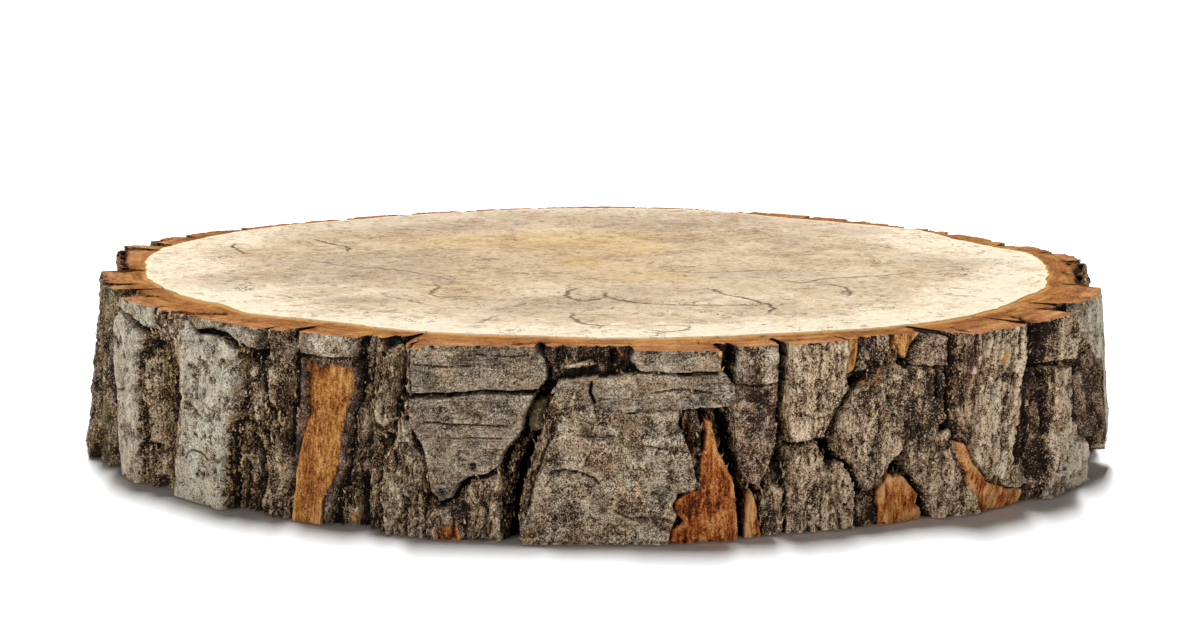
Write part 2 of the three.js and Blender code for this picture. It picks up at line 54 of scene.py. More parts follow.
# The edge of the wood, seen from above: degrees and radius
woodEdge = [
    (0, 132), (11, 134), (15.5, 134.5), (20, 130.5), (25, 128.5), (31, 127.7), (40, 132),
    (44, 130), (51.5, 128), (61, 127.4), (66, 129.6), (70, 133), (76, 135.5), (82, 136.2),
    (90, 136), (97, 136), (102, 135.6), (108.5, 134), (119, 134.6), (125, 134), (138, 138.5),
    (144, 140), (156, 141), (162, 141), (169, 138.8), (175, 136), (180, 133.8), (185.5, 133),
    (191, 130.6), (200, 127.8), (205, 126), (211, 122.7), (218, 124.6), (221, 123.4),
    (226.6, 119.6), (231, 117.8), (236.5, 117.5), (240, 118.6), (248, 118.6), (256, 117.1),
    (262, 116.7), (270, 119.2), (285, 120.5), (292, 121), (300, 123.6), (304.6, 126.4),
    (309, 127.6), (314, 129.6), (320, 130.5), (327, 130.4), (338, 129.6), (342, 131),
    (346, 132), (351.5, 130.8), (357.5, 131.6)]
# The floor of the furrows, a radius every 15 degrees, above and below
furrowTopTable = [
    140, 141, 135, 134.5, 133.5, 139, 140, 139.5, 138.5, 142.5, 147.5, 140.5,
    138.5, 137.5, 135.5, 131, 127.5, 126, 126, 130.5, 132, 138.5, 141.5, 142]
furrowBaseTable = [
    142, 146, 137, 135, 134, 140, 141, 140.5, 140, 143, 147, 150,
    144.5, 141, 137.5, 135.5, 133.5, 133.5, 132, 132.5, 132, 135.5, 141.5, 143]

# How a plate of bark looks where its kind says nothing else
plateLook = {
    "tone": 0.5,        # 0 dark, 1 pale
    "warm": 0.4,        # 0 grey, 1 brown
    "rose": 0,          # how purplish
    "speck": 0.4,       # how much tan grain lies on it
    "contrast": 1.5,    # of its fine mottling
    "patchy": 0.1,      # and of its larger patches
    "cross": 0,         # fine cracks across the trunk
    "strand": 0,        # fibre along it
    "grit": 0.3,        # grain
    "swell": 0.4,       # soft unevenness
    "pits": 0,          # small holes
    "peel": 0,          # how much of its skin is off
    "moss": 0,          # green dust
    "bast": 0,          # 1 is bared inner bark
    "flank": 1.0,       # least width of its side in mm
    "lean": 0.15,       # and what each mm of height adds to that
    "layers": 2,        # steps in its side
    "round": 0.3,       # how blunt its edge is
    "ragged": 0.8,      # how torn
    "under": 0,         # how far the ridges of the furrow show through
    "cover": 1,         # how fully its colour hides the furrow's
}
barkLooks = {
    "mossy": {"tone": 0.2, "warm": 0.6, "speck": 0.5, "contrast": 2.2, "patchy": 0.45,
              "strand": 1.0, "grit": 0.35, "swell": 0.9, "pits": 0.6, "peel": 0.6, "moss": 0.45,
              "flank": 2, "layers": 3, "under": 0.35, "cover": 0.8},
    "pale": {"tone": 0.79, "warm": 0.15, "rose": -0.15, "speck": 0.15, "contrast": 1.7,
             "patchy": 0.22, "grit": 0.25, "swell": 1.1, "pits": 0.5, "peel": 0.65,
             "moss": 0.25, "round": 0.4},
    "cap": {"tone": 0.6, "warm": 0.15, "speck": 0.25, "contrast": 1.4, "patchy": 0.2,
            "cross": 0.3, "grit": 0.2, "pits": 0.4, "peel": 0.2, "flank": 0.7, "lean": 0.1,
            "ragged": 0.5},
    "grey": {"tone": 0.45, "warm": 0.25, "speck": 0.4, "contrast": 1.05, "patchy": 0.06,
             "cross": 0.8, "grit": 0.2, "swell": 0.3, "flank": 0.5, "lean": 0.03, "layers": 1,
             "round": 0.2, "ragged": 0.3},
    "dusty": {"tone": 0.52, "warm": 0.5, "speck": 0.8, "contrast": 1.6, "cross": 0.4,
              "grit": 0.4, "pits": 0.4, "peel": 0.25, "lean": 0.1, "ragged": 0.6},
    "rough": {"tone": 0.33, "warm": 0.85, "speck": 0.6, "contrast": 2.4, "patchy": 0.45,
              "strand": 0.8, "grit": 0.8, "swell": 1.0, "pits": 0.8, "peel": 0.7, "flank": 2,
              "lean": 0.3, "layers": 3, "under": 0.7, "cover": 0.75},
    "umber": {"tone": 0.13, "warm": 0.9, "rose": 0.1, "speck": 0.4, "contrast": 2.2,
              "patchy": 0.4, "strand": 0.8, "grit": 0.8, "swell": 1.0, "pits": 0.8, "peel": 0.6,
              "flank": 2, "lean": 0.3, "layers": 3, "under": 0.5, "cover": 0.9},
    "speckled": {"tone": 0.74, "warm": 1.05, "speck": 0.7, "contrast": 2.3, "patchy": 0.2,
                 "strand": 1.2, "grit": 0.6, "swell": 0.7, "pits": 0.6, "peel": 0.4,
                 "lean": 0.1, "under": 0.3},
    "earthy": {"tone": 0.53, "warm": 1.05, "rose": 0.08, "speck": 0.7, "contrast": 2.3,
               "patchy": 0.3, "strand": 1.3, "grit": 0.7, "swell": 0.9, "pits": 0.7,
               "peel": 0.5, "lean": 0.15, "layers": 3, "under": 0.45},
    "tan": {"tone": 0.72, "warm": 0.75, "speck": 0.5, "contrast": 2.1, "patchy": 0.3,
            "strand": 1.9, "grit": 0.4, "pits": 0.4, "peel": 0.35, "flank": 1.4, "lean": 0.25,
            "layers": 3, "under": 0.3},
    "tuft": {"tone": 0.66, "warm": 0.85, "speck": 0.8, "contrast": 2.2, "patchy": 0.5,
             "strand": 1.9, "grit": 0.8, "swell": 0.8, "flank": 3, "lean": 0.4, "layers": 3,
             "under": 1, "cover": 0.55},
    "fibre": {"tone": 0.34, "warm": 0.95, "speck": 0.6, "contrast": 2.3, "patchy": 0.6,
              "strand": 1.6, "grit": 0.6, "swell": 0.8, "flank": 2, "lean": 0.3, "layers": 3,
              "under": 0.9, "cover": 0.6},
    "purple": {"tone": 0.36, "warm": 0.9, "rose": 0.4, "speck": 0.35, "contrast": 1.9,
               "patchy": 0.3, "strand": 0.7, "grit": 0.6, "swell": 0.9, "pits": 0.4,
               "peel": 0.5},
    "rim": {"tone": 0.26, "warm": 0.6, "rose": 0.45, "speck": 0.05, "grit": 0.3, "flank": 0.5,
            "lean": 0.1, "layers": 1, "round": 0.4, "ragged": 0.6, "under": 0.3},
    "moss": {"tone": 0.3, "warm": 0.5, "speck": 0.2, "grit": 0.8, "swell": 1.2, "moss": 0.9,
             "flank": 2.2, "layers": 1, "round": 1.2, "cover": 0.8},
    "bast": {"tone": 0.5, "warm": 1, "speck": 0.05, "strand": 0.45, "grit": 0.15, "swell": 0.4,
             "bast": 1, "flank": 0.8, "layers": 1, "ragged": 0.6},
    "redBast": {"tone": 0.45, "warm": 1, "rose": 0.9, "speck": 0.05, "patchy": 0.2,
                "strand": 0.8, "grit": 0.15, "swell": 0.5, "bast": 1, "flank": 0.8, "layers": 1,
                "ragged": 0.8},
    "pinkBast": {"tone": 0.66, "warm": 1, "rose": 0.75, "speck": 0.05, "patchy": 0.3,
                 "strand": 1.2, "grit": 0.15, "swell": 0.5, "bast": 1, "flank": 0.8,
                 "layers": 1, "ragged": 1}}
furrowLook = {"tone": 0.3, "warm": 0.7, "speck": 0.5, "contrast": 2, "patchy": 0.4, "strand": 0.8,
              "grit": 0.5, "swell": 0.4}
colourValues = ["tone", "warm", "rose", "speck", "contrast", "cross", "moss", "bast", "strand"]
lookValues = colourValues + ["grit", "swell", "pits", "peel", "patchy"]

# Bark plates: look, radius of the outer face at its left and right end, what its lower end
# adds to that, and its outline as (degrees, mm up)
barkPlates = [
    ("mossy", 147, 144.8, 5.8, [
        (179.4, top), (179.2, 40), (179, 26), (179.2, 12), (179, base), (189.4, base), (189.8, 9),
        (189.3, 19), (189.7, 27), (189.1, 35), (189.7, 41), (189.2, 47), (189.4, top)]),
    ("mossy", 145.5, 143.5, 2, [
        (190.8, top), (191.3, 44), (190.9, 36), (190.5, 26), (190.9, 12), (190.5, base),
        (194.4, base), (194.9, 12), (194.2, 26), (194.6, 40), (193.9, top)]),
    ("pale", 145.5, 142, 0, [
        (200, top), (199.2, 49), (201.2, 47.6), (204, 46.2), (207.2, 44.8), (208.2, 46),
        (208.2, top)]),
    ("pale", 145.5, 145, 0, [
        (199.4, 48), (197.5, 44.5), (197.1, 38), (197.2, 31), (197.8, 24), (198.3, 14), (199, 6),
        (199.8, base), (205, base), (205.2, 8), (205.1, 20), (204.8, 25), (203.9, 28.5),
        (204.1, 33), (204.8, 37.5), (206, 40.5), (207.2, 43), (206, 44.2), (203.5, 45.4),
        (201, 46.8)]),
    ("rough", 143, 143, 0, [
        (195.4, 50), (195.2, 40), (195.6, 28), (195.4, 16), (195.8, 4), (198.6, 4), (198, 16),
        (197.4, 28), (197.4, 42)]),
    ("fibre", 141.5, 141, 0, [
        (206.2, 38), (206.1, 25), (206.4, 14), (208, 13), (208.3, 24), (208.2, 36)]),
    ("tuft", 142, 141.8, 0, [
        (209.5, 39), (209.3, 26), (209.6, 14), (210.8, 13), (211, 25), (210.8, 36), (210.3, 41)]),
    ("fibre", 141, 140, 0, [
        (206.4, 11), (206.2, base), (209.2, base), (209.4, 8), (208.2, 12)]),
    ("fibre", 141, 139.5, 0, [
        (208.7, top), (208.5, 46), (208.8, 42), (211.2, 42), (211.9, 46), (212, top)]),
    ("rough", 140.5, 139.5, 0, [
        (212.4, top), (212.2, 42), (212.8, 38), (214.8, 42), (215, top)]),
    ("cap", 139.8, 138.5, 0.5, [
        (214.6, top), (215.4, 49.6), (217, 48.3), (220, 49.2), (222.9, 48.8), (224.6, 47.4),
        (226.2, 46.2), (228.1, 45.8), (228.3, 48), (228.3, top)]),
    ("pale", 140.5, 141.8, 1, [
        (213.6, 50.5), (213.2, 46), (213.7, 36), (214.3, 27), (213.3, 20), (212.9, 8),
        (212.7, base), (223, base), (223.2, 7), (223.1, 15), (223.4, 20), (224, 25), (225, 28),
        (225.4, 32), (225.1, 37), (225.3, 43), (225, 45), (223.6, 46.3), (222.4, 47.4),
        (220, 47.9), (217.4, 47), (216.6, 48.8), (215.6, 50.5)]),
    ("fibre", 137.5, 136.5, 0, [
        (226.4, 42), (226.2, 34), (226.4, 26), (227.8, 25), (228.3, 34), (228, 42)]),
    ("fibre", 137, 136, 0, [
        (225, 20), (224.6, 10), (224.4, base), (226.2, base), (226.4, 10), (226.2, 19)]),
    ("fibre", 136, 135, 0, [
        (228.8, top), (228.6, 44), (228.4, 36), (229.4, 30), (231.2, 32), (231.6, 42),
        (231.5, top)]),
    ("rough", 136.5, 136, 1, [
        (227.6, base), (227.5, 10), (228.4, 18), (230, 21.5), (231.6, 19), (232, 8),
        (231.8, base)]),
    ("cap", 135, 134.5, 0.5, [
        (233, top), (232.9, 48.5), (233.4, 45.8), (236, 45.3), (240.6, 46.2), (241.4, 48.5),
        (241.3, top)]),
    ("rim", 134, 134, 1, [
        (232.9, 44.6), (233, 37), (233.2, 30), (232.4, 24), (232.1, 16), (232, 6), (232.8, 6),
        (232.9, 17), (233.6, 24), (234.3, 29), (234, 36), (234, 44.2)]),
    ("bast", 131.5, 131.5, 6.5, [
        (232.7, base), (232.7, 10), (232.8, 17), (233.5, 24), (234.3, 29.5), (233.9, 36),
        (233.8, 45.5), (240.6, 45.5), (240.5, 38), (239.6, 31.5), (239.2, 26), (238.8, 16.5),
        (238.4, 13.5), (237.6, 10), (237, 6.5), (237.1, base)]),
    ("rim", 133.5, 134, 3, [
        (240.6, 45), (240.6, 38), (239.7, 31.5), (239.3, 26), (238.8, 16.5), (238.4, 13.5),
        (237.6, 10), (237, 6.5), (237.1, base), (238, base), (238.1, 6.5), (238.8, 10),
        (239.4, 13.5), (239.8, 16.5), (240.1, 26), (240.5, 31.5), (241.2, 38), (241.3, 44.8)]),
    ("rim", 132.5, 132.5, 0, [
        (234, 46), (234.2, 43), (235.2, 41.8), (236.4, 43), (237.6, 43.4), (238.8, 42.4),
        (240.4, 43), (240.6, 46)]),
    ("fibre", 131.5, 131.5, 3, [
        (241.8, top), (241.6, 38), (240.8, 24), (240, 12), (239, base), (244.2, base),
        (243.8, 14), (244.4, 26), (243.4, 36), (243.8, top)]),
    ("tuft", 134, 134.5, 1, [
        (244.5, 48), (244.2, 40), (243, 33), (243.4, 29.5), (245.2, 28), (246.4, 31), (246.8, 39),
        (245.8, 48.5)]),
    ("tuft", 135.5, 136.8, 3, [
        (245, base), (244.8, 10), (245, 19), (246.4, 25), (247, 32), (248.4, 31), (249.4, 24),
        (250.3, 16), (250.8, 6), (250.9, base)]),
    ("fibre", 135, 136.5, 1, [
        (247.8, top), (247.5, 46), (247.3, 38), (247.4, 32), (248.6, 32), (249, 41), (249, top)]),
    ("grey", 138, 133.5, 0.5, [
        (248.9, top), (248.7, 45), (248.9, 38.6), (252.5, 38.9), (257, 39.8), (260.8, 39.9),
        (263.2, 40.6), (264.1, 43.5), (264, 47.4), (262.9, 49.8), (261.9, top)]),
    ("umber", 131, 131, 0, [(263.8, 42.5), (263.4, top), (274.4, top), (274.2, 44)]),
    ("grey", 139, 136.5, 2, [
        (248.7, 37.6), (248.9, 30), (250.3, 25), (250.9, 20), (251.3, 13.2), (252.3, 10.2),
        (253.5, 11.2), (254.2, 15), (255.4, 17.2), (257.6, 18.2), (258.8, 20.6), (259.4, 24.5),
        (260.3, 27), (261.3, 30), (261.7, 33.5), (262.8, 39.4), (260.5, 39.4), (256.5, 39.2),
        (252, 37.9)]),
    ("rough", 137.5, 134.5, 4, [
        (250.6, base), (259.3, base), (259.1, 8), (259.4, 15), (258.8, 19.2), (257.5, 17),
        (255.7, 16), (254.8, 12), (253.8, 9.6), (252.2, 8.8), (251, 11)]),
    ("moss", 132, 131, 1, [
        (262.2, 37.4), (261.5, 34), (261.7, 30.6), (262.6, 28.6), (263.6, 29), (264.3, 31.4),
        (264.6, 34.6), (264, 37.6)]),
    ("tan", 134.5, 134.5, 0, [
        (265.2, 46.6), (266.4, 48.2), (268.8, 48.4), (269.6, 47.4), (267.6, 46.4)]),
    ("rough", 137, 139, 1, [
        (266.4, 42), (264.6, 38), (263.6, 31), (263, 24), (261.8, 15), (260.9, 6), (260.6, base),
        (264, base), (265, 10), (266.2, 22), (267.4, 32), (268.4, 41)]),
    ("dusty", 140, 141.5, 1.5, [
        (267, 37.2), (265.6, 34.5), (265.2, 31), (264.2, 26), (263.5, 20), (262.7, 14), (262.1, 8),
        (261.2, 4), (261.6, base), (277.2, base), (277.6, 4), (278.3, 8), (277.9, 11),
        (278.4, 13.8), (280.2, 14.6), (280.7, 16.5), (280, 22), (279.3, 27), (278.6, 32),
        (278.6, 36), (276, 35.9), (273.5, 35.4), (271.5, 35.6), (269.5, 36.9)]),
    ("grey", 138, 142.5, 0.5, [
        (265.3, 43.4), (265, 40), (265.6, 36.8), (269.5, 35.8), (272.2, 35), (275, 35.3),
        (278.2, 35.7), (281, 36.3), (283.8, 36.7), (284.6, 38.2), (284.4, 42.7), (283.5, 45.6),
        (281, 45.2), (278, 45.2), (274.5, 45.7), (271.5, 44.4), (268, 44.5)]),
    ("grey", 138.5, 142.5, 0, [
        (274, top), (273.4, 48.7), (274.4, 46), (278, 45.8), (282.9, 46.1), (283, top)]),
    ("redBast", 139.8, 138.5, 1, [
        (277, base), (277.4, 4), (278.9, 6.4), (277.9, 9), (277.9, 12.4), (279.3, 14.6),
        (282.6, 14), (284.7, 11.4), (285.1, 5), (285.2, base)]),
    ("redBast", 138.8, 138, 0, [
        (280.6, 11), (281.1, 23), (281.7, 32.6), (282.2, 32), (283.2, 23.5), (284.5, 17.4),
        (285, 10)]),
    ("fibre", 136.5, 136.5, 1, [
        (278.6, 36), (278.8, 28), (280, 20), (280.4, 14), (281.4, 14), (281.4, 24),
        (281, 35)]),
    ("purple", 137, 138, -1, [
        (285.3, top), (285, 42), (285.1, 35), (285.4, 27), (285.8, 20), (286.2, 15.4), (287.2, 14),
        (288.2, 14.6), (289.2, 20), (290, 26), (290.1, 40), (290.2, top)]),
    ("pinkBast", 137, 136.5, 0, [
        (286.2, base), (286.4, 8), (287, 12.8), (287.9, 8.5), (288.5, base)]),
    ("rough", 136, 135, 0, [
        (288.2, base), (288, 9), (289.2, 12), (289.9, 18), (291, 20), (291.2, 12), (291.4, base)]),
    ("speckled", 139, 139, 0, [
        (291.5, top), (291.2, 38), (291.4, 28), (292, 25), (293.8, 25.3), (295.4, 26.1),
        (296.1, 28.2), (296.9, 31), (297.9, 35), (298.6, 39), (298.3, 42), (298.5, 47),
        (298.2, top)]),
    ("earthy", 135.5, 138, 0, [
        (291.6, 23.6), (291.4, 12), (291.5, base), (299.8, base), (299.9, 5), (299.7, 11),
        (298.9, 15.5), (298.2, 19), (296.2, 19.4), (295.6, 22), (295.2, 24.6), (293.8, 24)]),
    ("earthy", 139.5, 140.5, 0, [
        (299.2, 38.2), (298.3, 34), (297.7, 30), (297.3, 25), (298, 20.6), (299.3, 17),
        (300.2, 12.6), (301.2, 10), (302.6, 12), (303.6, 16.6), (305, 20), (306.6, 24), (306.9, 32),
        (306.5, 42), (304.6, 44.4), (302.2, 43.4), (300.8, 40.4)]),
    ("bast", 137, 136.5, 0, [
        (298.7, top), (298.6, 42.4), (299.5, 43), (300, 47), (300.4, top)]),
    ("umber", 136, 136.5, 0, [
        (300.2, top), (300, 48), (299.6, 41.8), (302.5, 43), (303, 47), (302.6, top)]),
    ("rough", 137, 138, 0, [
        (302.6, top), (302.6, 48), (302.2, 43), (305.2, 43), (305.6, 46), (304.8, top)]),
    ("bast", 137.5, 138.5, 0, [
        (304.8, top), (305.1, 49.5), (305.9, 46.5), (306.5, 44.4), (307.2, 48.4), (308.9, top)]),
    ("purple", 138.5, 143, 0, [
        (306.8, 42.5), (307.1, 47.6), (308.3, 50), (310, 51), (310.8, 50.6), (310.9, 42),
        (309, 41.6)]),
    ("umber", 139.5, 142.5, 0, [
        (305.9, 44), (305.5, 30), (305.8, 21), (308, 19.4), (309.8, 21), (311, 28), (311, 37),
        (310.9, 43), (308.4, 42)]),
    ("umber", 136.5, 137, 0, [
        (300, base), (300, 8), (301.3, 11.6), (302.8, 11.4), (303, base)]),
    ("pinkBast", 138, 137.5, 0, [
        (303, base), (303, 9), (303.4, 12.4), (304.4, 14.2), (305.1, 13.2), (305.7, 14),
        (306.7, 12.4), (307.6, 9.6), (308.9, 7.2), (308.4, 4.6), (309.4, 2), (309.2, base)]),
    ("earthy", 139.5, 145.5, 0, [
        (306.9, 22), (307.2, 15), (308.6, 9), (309.8, 4), (310.4, base), (316.2, base),
        (315.2, 7), (313.6, 13.5), (312.4, 19), (311.4, 25), (309.5, 23.6)]),
    ("tan", 151, 153, -7, [
        (311.3, top), (311.3, 44), (311.4, 36), (311.5, 28), (312.1, 22.5), (313.2, 18.5),
        (314.8, 14), (316, 10.5), (317.4, 8.2), (318.7, 6.6), (321.2, 5), (323.9, 3.9),
        (324.8, 5.4), (324.4, 8), (323.4, 12.5), (322.8, 18), (322, 24), (321.5, 28), (321.4, 34),
        (321.1, 40), (320.7, 45.5), (320.9, 49.5), (320.5, top)]),
    ("pinkBast", 147, 148.5, -4, [
        (311.4, 22), (312.4, 16), (313.6, 10.5), (314.8, 5.5), (315.6, base), (322, base),
        (323.2, 2.6), (323, 4.2), (320.8, 5.4), (318.6, 7), (317, 9), (315.4, 12), (313.8, 16.4),
        (312.4, 20.4)]),
    ("umber", 150.5, 152, 0, [
        (322.3, top), (322.4, 39), (325.6, 39.2), (325.6, top)]),
    ("umber", 144.5, 147, 0, [
        (322.8, 37.6), (323, 28), (323.4, 18), (324.2, 8), (324.6, base), (327, base),
        (326.6, 14), (326, 26), (325.8, 37.6)]),
    ("speckled", 152.5, 153, 0, [
        (325.2, top), (325.1, 46), (325, 39.4), (327.5, 38.9), (330, 38.7), (330.6, 41),
        (330.3, 47), (329.6, top)]),
    ("tan", 152, 151.5, -2, [
        (325.4, 37.8), (325.6, 26), (325.8, 18), (326, 10), (326.2, base), (338.3, base),
        (337.6, 10), (335.2, 14.4), (333.6, 18), (332.2, 24), (331.4, 30), (330.9, 35.8),
        (329.8, 36.9), (327.5, 37.9)]),
    ("umber", 147.5, 148.5, 1, [
        (335.8, top), (335.6, 38), (335.8, 25), (336.8, 10), (339, 6), (341.4, 8),
        (340.8, 40), (341, top)]),
    ("pale", 148.6, 147.2, 3.4, [
        (341, top), (340.8, 40), (341.4, 26), (341.4, 9), (343, 6), (347, 8), (349.6, 15),
        (349.2, 40), (347.9, top)]),
    ("pale", 147.2, 144.5, 0, [
        (341.4, base), (341, 3), (341.8, 5.2), (343.6, 4.5), (347.4, 6.4), (350, 13),
        (354, 11), (354.4, base)]),
    ("tan", 142.6, 142.8, 3.5, [
        (350.5, top), (351, 30), (353.2, 19), (355.5, 15.5), (358.3, 12), (359, 30),
        (358.4, top)]),
    ("tan", 146, 147, 0, [
        (355.7, base), (355.6, 12), (359, 9.5), (361.5, 13.5), (363, 12), (364, base)]),
    ("umber", 154.6, 142, 1, [
        (163, base), (178.6, base), (178.4, 20), (178.6, 43), (178.4, top), (163.2, top)]),
]

# Behind, each column of plates breaks across by rule: degrees from and to, and the radius
# of its face at both
backColumns = [
    (359.2, 366.5, 142.6, 145.4), (367.2, 374, 146, 145.5), (374.8, 381, 144.5, 142.5),
    (26.5, 34, 138.5, 137.5), (34.7, 41, 137.5, 136.5), (45.5, 53, 136, 136.5),
    (53.7, 60.5, 137, 138), (61.1, 68.8, 138.5, 139.5), (75, 83, 141, 142.5),
    (83.7, 90.5, 143, 143.5), (91.1, 98.2, 143.5, 142), (98.9, 108, 142, 140.5),
    (110.2, 117, 140.5, 141), (117.7, 125, 141, 141.5), (127.5, 134, 142, 143),
    (134.6, 141, 143.5, 145), (143.6, 150.2, 148.5, 151), (150.9, 158.2, 152, 154.5),
    (159.3, 162.4, 155, 154.8)]
backRule = {
    "firstCrack": 10, "crackRange": 30, "secondCrackAbove": 0.5, "crackGap": 1.1,
    "crackClear": 4, "crackTilt": 5, "edgeStep": 8.5, "edgeJitter": 0.3, "furrowSway": 1.1,
    "furrowWave": 48, "furrowWiden": 0.5, "flare": 2, "bastShare": 0.12,
    "looks": ["tan", "speckled", "grey", "dusty", "pale", "cap", "mossy", "rough"]}

# Stained places on the bark: what they change, and the outline
barkStains = [
    ({"bast": 0.6, "rose": 1}, [
        (252, base), (252.2, 3.4), (253.4, 5), (254.8, 3.8), (255.2, base)]),
    ({"bast": 0.5, "rose": 0.8}, [
        (271, 48.6), (271.4, 51), (273.4, 51.4), (273.4, 48), (272, 47.4)]),
    ({"bast": 0.6}, [(282.4, 46), (282.4, top), (283.4, top), (283.4, 46)]),
    ({"bast": 0.45, "rose": 0.6}, [
        (278.8, 35.6), (278.8, 28), (280.4, 20), (280.6, 28), (279.8, 36)]),
    ({"bast": 0.45, "rose": 0.6}, [(291, 30), (291.1, 25.6), (291.8, 25.4), (291.6, 29.6)]),
    ({"bast": 0.5, "rose": 0.3}, [
        (299.8, 39), (300.6, 42.4), (303, 43.4), (303.6, 41.4), (301.8, 38.4)]),
    ({"bast": 0.6, "rose": 0.3}, [(304.3, top), (304.5, 46), (305.3, 45), (305.2, top)]),
    ({"bast": 0.6}, [(316.4, 43), (316.6, 46), (317.4, 48), (318, 45.4), (317.5, 42)]),
    ({"warm": 1.6, "tone": 0.42, "rose": 0.3, "speck": 0.3, "bast": 0.2, "contrast": 1.4}, [
        (310.8, top), (310.8, 30), (312.4, 20), (314.4, 17), (314, 30), (313.5, 40), (313.7, top)]),
    ({"tone": -0.7, "speck": 0}, [(320.2, top), (321, 12), (324, 14), (323.7, top)]),
    ({"tone": -0.4, "speck": 0}, [(330.4, top), (331, 20), (335, 18), (335.4, top)]),
    ({"bast": 0.5, "rose": 0.2}, [(248.2, 50.3), (248.2, top), (250.3, top), (250, 50.5)]),
    ({"bast": 0.5, "rose": 0.9}, [(239.8, 1.8), (240.2, 4.6), (241.4, 4.4), (241.6, 1.4)]),
    ({"rose": 0.05, "tone": 0.52, "warm": 0.5}, [
        (285, 43), (285, top), (290.4, top), (290.4, 42)]),
    ({"warm": 1.2, "tone": 0.15}, [(323.8, top), (324, 14), (326, 16), (326, top)]),
    ({"warm": 0.8, "tone": 0.42}, [
        (212.4, 50), (212.4, 10), (213.4, 8), (214.6, 20), (215, 30), (214.2, 38), (214.4, 50)]),
    ({"tone": 0.8, "warm": 0.2, "rose": -0.1, "contrast": 1.3, "strand": 0.3}, [
        (334.8, top), (335.2, 44), (338, 40), (341, 34), (341.4, top)]),
    ({"warm": 1, "tone": 0.22, "contrast": 2}, [
        (341, 34), (341, 8), (345, 10), (344.6, 22), (342.6, 33)]),
    ({"tone": 0.88, "warm": 0.25, "rose": -0.15, "patchy": 0.1, "contrast": 0.9, "strand": 0.2}, [
        (325.4, base), (327.8, 8), (329.6, 13), (332.4, 19), (335.5, 15), (338, 10),
        (338.4, base)])]

# Clefts cut into the furrow floor: depth, then the path
fissures = [
    (8, [(177.6, base), (178, 20), (178.6, 36), (178.8, top)]),
    (6, [(195, base), (194.8, 26), (194, 40), (194.6, top)]),
    (6, [(212.1, base), (211.8, 12), (211.4, 24), (211.9, 33), (211, 41)]),
    (4, [(208.6, base), (208.8, 24), (208.6, 40)]),
    (4, [(224.6, base), (225.4, 14), (225, 34), (226.3, 44)]),
    (6, [(231.6, 8), (231.2, 26), (231.8, 40), (231.9, top)]),
    (5, [(227.4, base), (227.3, 8), (226, 18), (225.6, 24)]),
    (4, [(242.2, base), (241.6, 18), (242.3, 38), (242.4, top)]),
    (6, [(247.1, 38), (247.1, 46), (246.8, top)]),
    (4, [(241.2, base), (242.6, 22), (242.4, 36)]),
    (6, [(260.2, base), (260.6, 16), (261.8, 24), (263, 29)]),
    (7, [(286, 6), (285.2, 16), (284.6, 24), (284, 33)]),
    (6, [(290.4, 14), (290.6, 34), (291, top)]),
    (5, [(296.6, 20), (297, 27), (299.2, 39)]),
    (6, [(305.6, 17), (307, 14.5)]),
    (7, [(309.9, 36), (309.8, 44), (309.8, top)]),
    (9, [(322.6, 20), (321.8, 32), (321.2, 42), (321, top)]),
    (8, [(334.8, 18), (334.6, 32), (334, 44), (334.2, top)]),
    (6, [(340.6, 10), (338.6, 13), (335.8, 17)]),
    (6, [(324.6, base), (323, 14), (322.4, 22)]),
    (6, [(350, 26), (350, 40), (349.4, top)]),
    (4, [(23.6, base), (24.2, 22), (23.4, top)]),
    (4, [(43.4, base), (42.8, 22), (43.2, top)]),
    (2, [(71.6, base), (72.4, 26), (71.8, top)]),
    (2, [(109, base), (109.4, 26), (109.1, top)]),
    (2, [(126.4, base), (126, 26), (126.4, top)]),
    (4, [(142.2, base), (142.6, 26), (142.2, top)])]

# Fine cracks in the plates: half width, depth, then the path
plateCracks = [
    (0.35, 1.2, [(215, 27.5), (216.5, 27), (218, 25.8), (219.2, 24.6)]),
    (0.3, 1.0, [(215.5, 12), (216.6, 14.5), (218.8, 15), (220.5, 13.2)]),
    (0.3, 0.9, [(219.5, 33), (220, 29), (221.5, 27)]),
    (0.3, 0.9, [(197.5, 26), (199, 25), (201.5, 26.4)]),
    (0.25, 0.8, [(249, 46.3), (252, 46.1), (255.4, 46.4)]),
    (0.25, 0.7, [(255, 49.4), (258.6, 49), (262, 49.2)]),
    (0.25, 0.8, [(250.5, 31.6), (253.4, 31), (256.5, 31.5), (259.6, 31.2)]),
    (0.25, 0.6, [(252, 27.2), (255.5, 27.9), (259, 28)]),
    (0.4, 1.4, [(264.6, 19.5), (266.3, 20.1), (268, 19.4), (269.3, 18.2), (269.8, 16.6)]),
    (0.35, 1.2, [(271.6, 9.5), (273.4, 7.2), (275.6, 7.8), (277.8, 6.9)]),
    (0.25, 0.8, [(267.4, 29.4), (269.4, 29), (271.6, 29.3)]),
    (0.3, 0.9, [(274.6, 26.8), (276.6, 26), (278.6, 26.4)]),
    (0.5, 2.2, [(269.1, 43.6), (268.9, 40.5), (269.3, 37.8)]),
    (0.3, 1.0, [(276, 40.6), (279, 41.4), (282, 40.4)]),
    (0.35, 1.2, [(285, 41.8), (287, 41.3), (290, 41.6)]),
    (0.3, 0.9, [(293, 33), (294.2, 31.4), (296.3, 31.9)]),
    (0.35, 1.1, [(313.5, 22), (314.4, 28), (314, 33)]),
    (0.8, 2.5, [(316.7, 43), (317.2, 45), (317, 47.3)]),
    (0.7, 4, [(189.6, 44), (189.9, top)]),
    (0.5, 2, [(322.8, 38.9), (326, 39.2), (329, 38.4), (332.2, 38.2)]),
    (0.35, 1.0, [(328.6, 20), (330, 22), (330.4, 27)])]

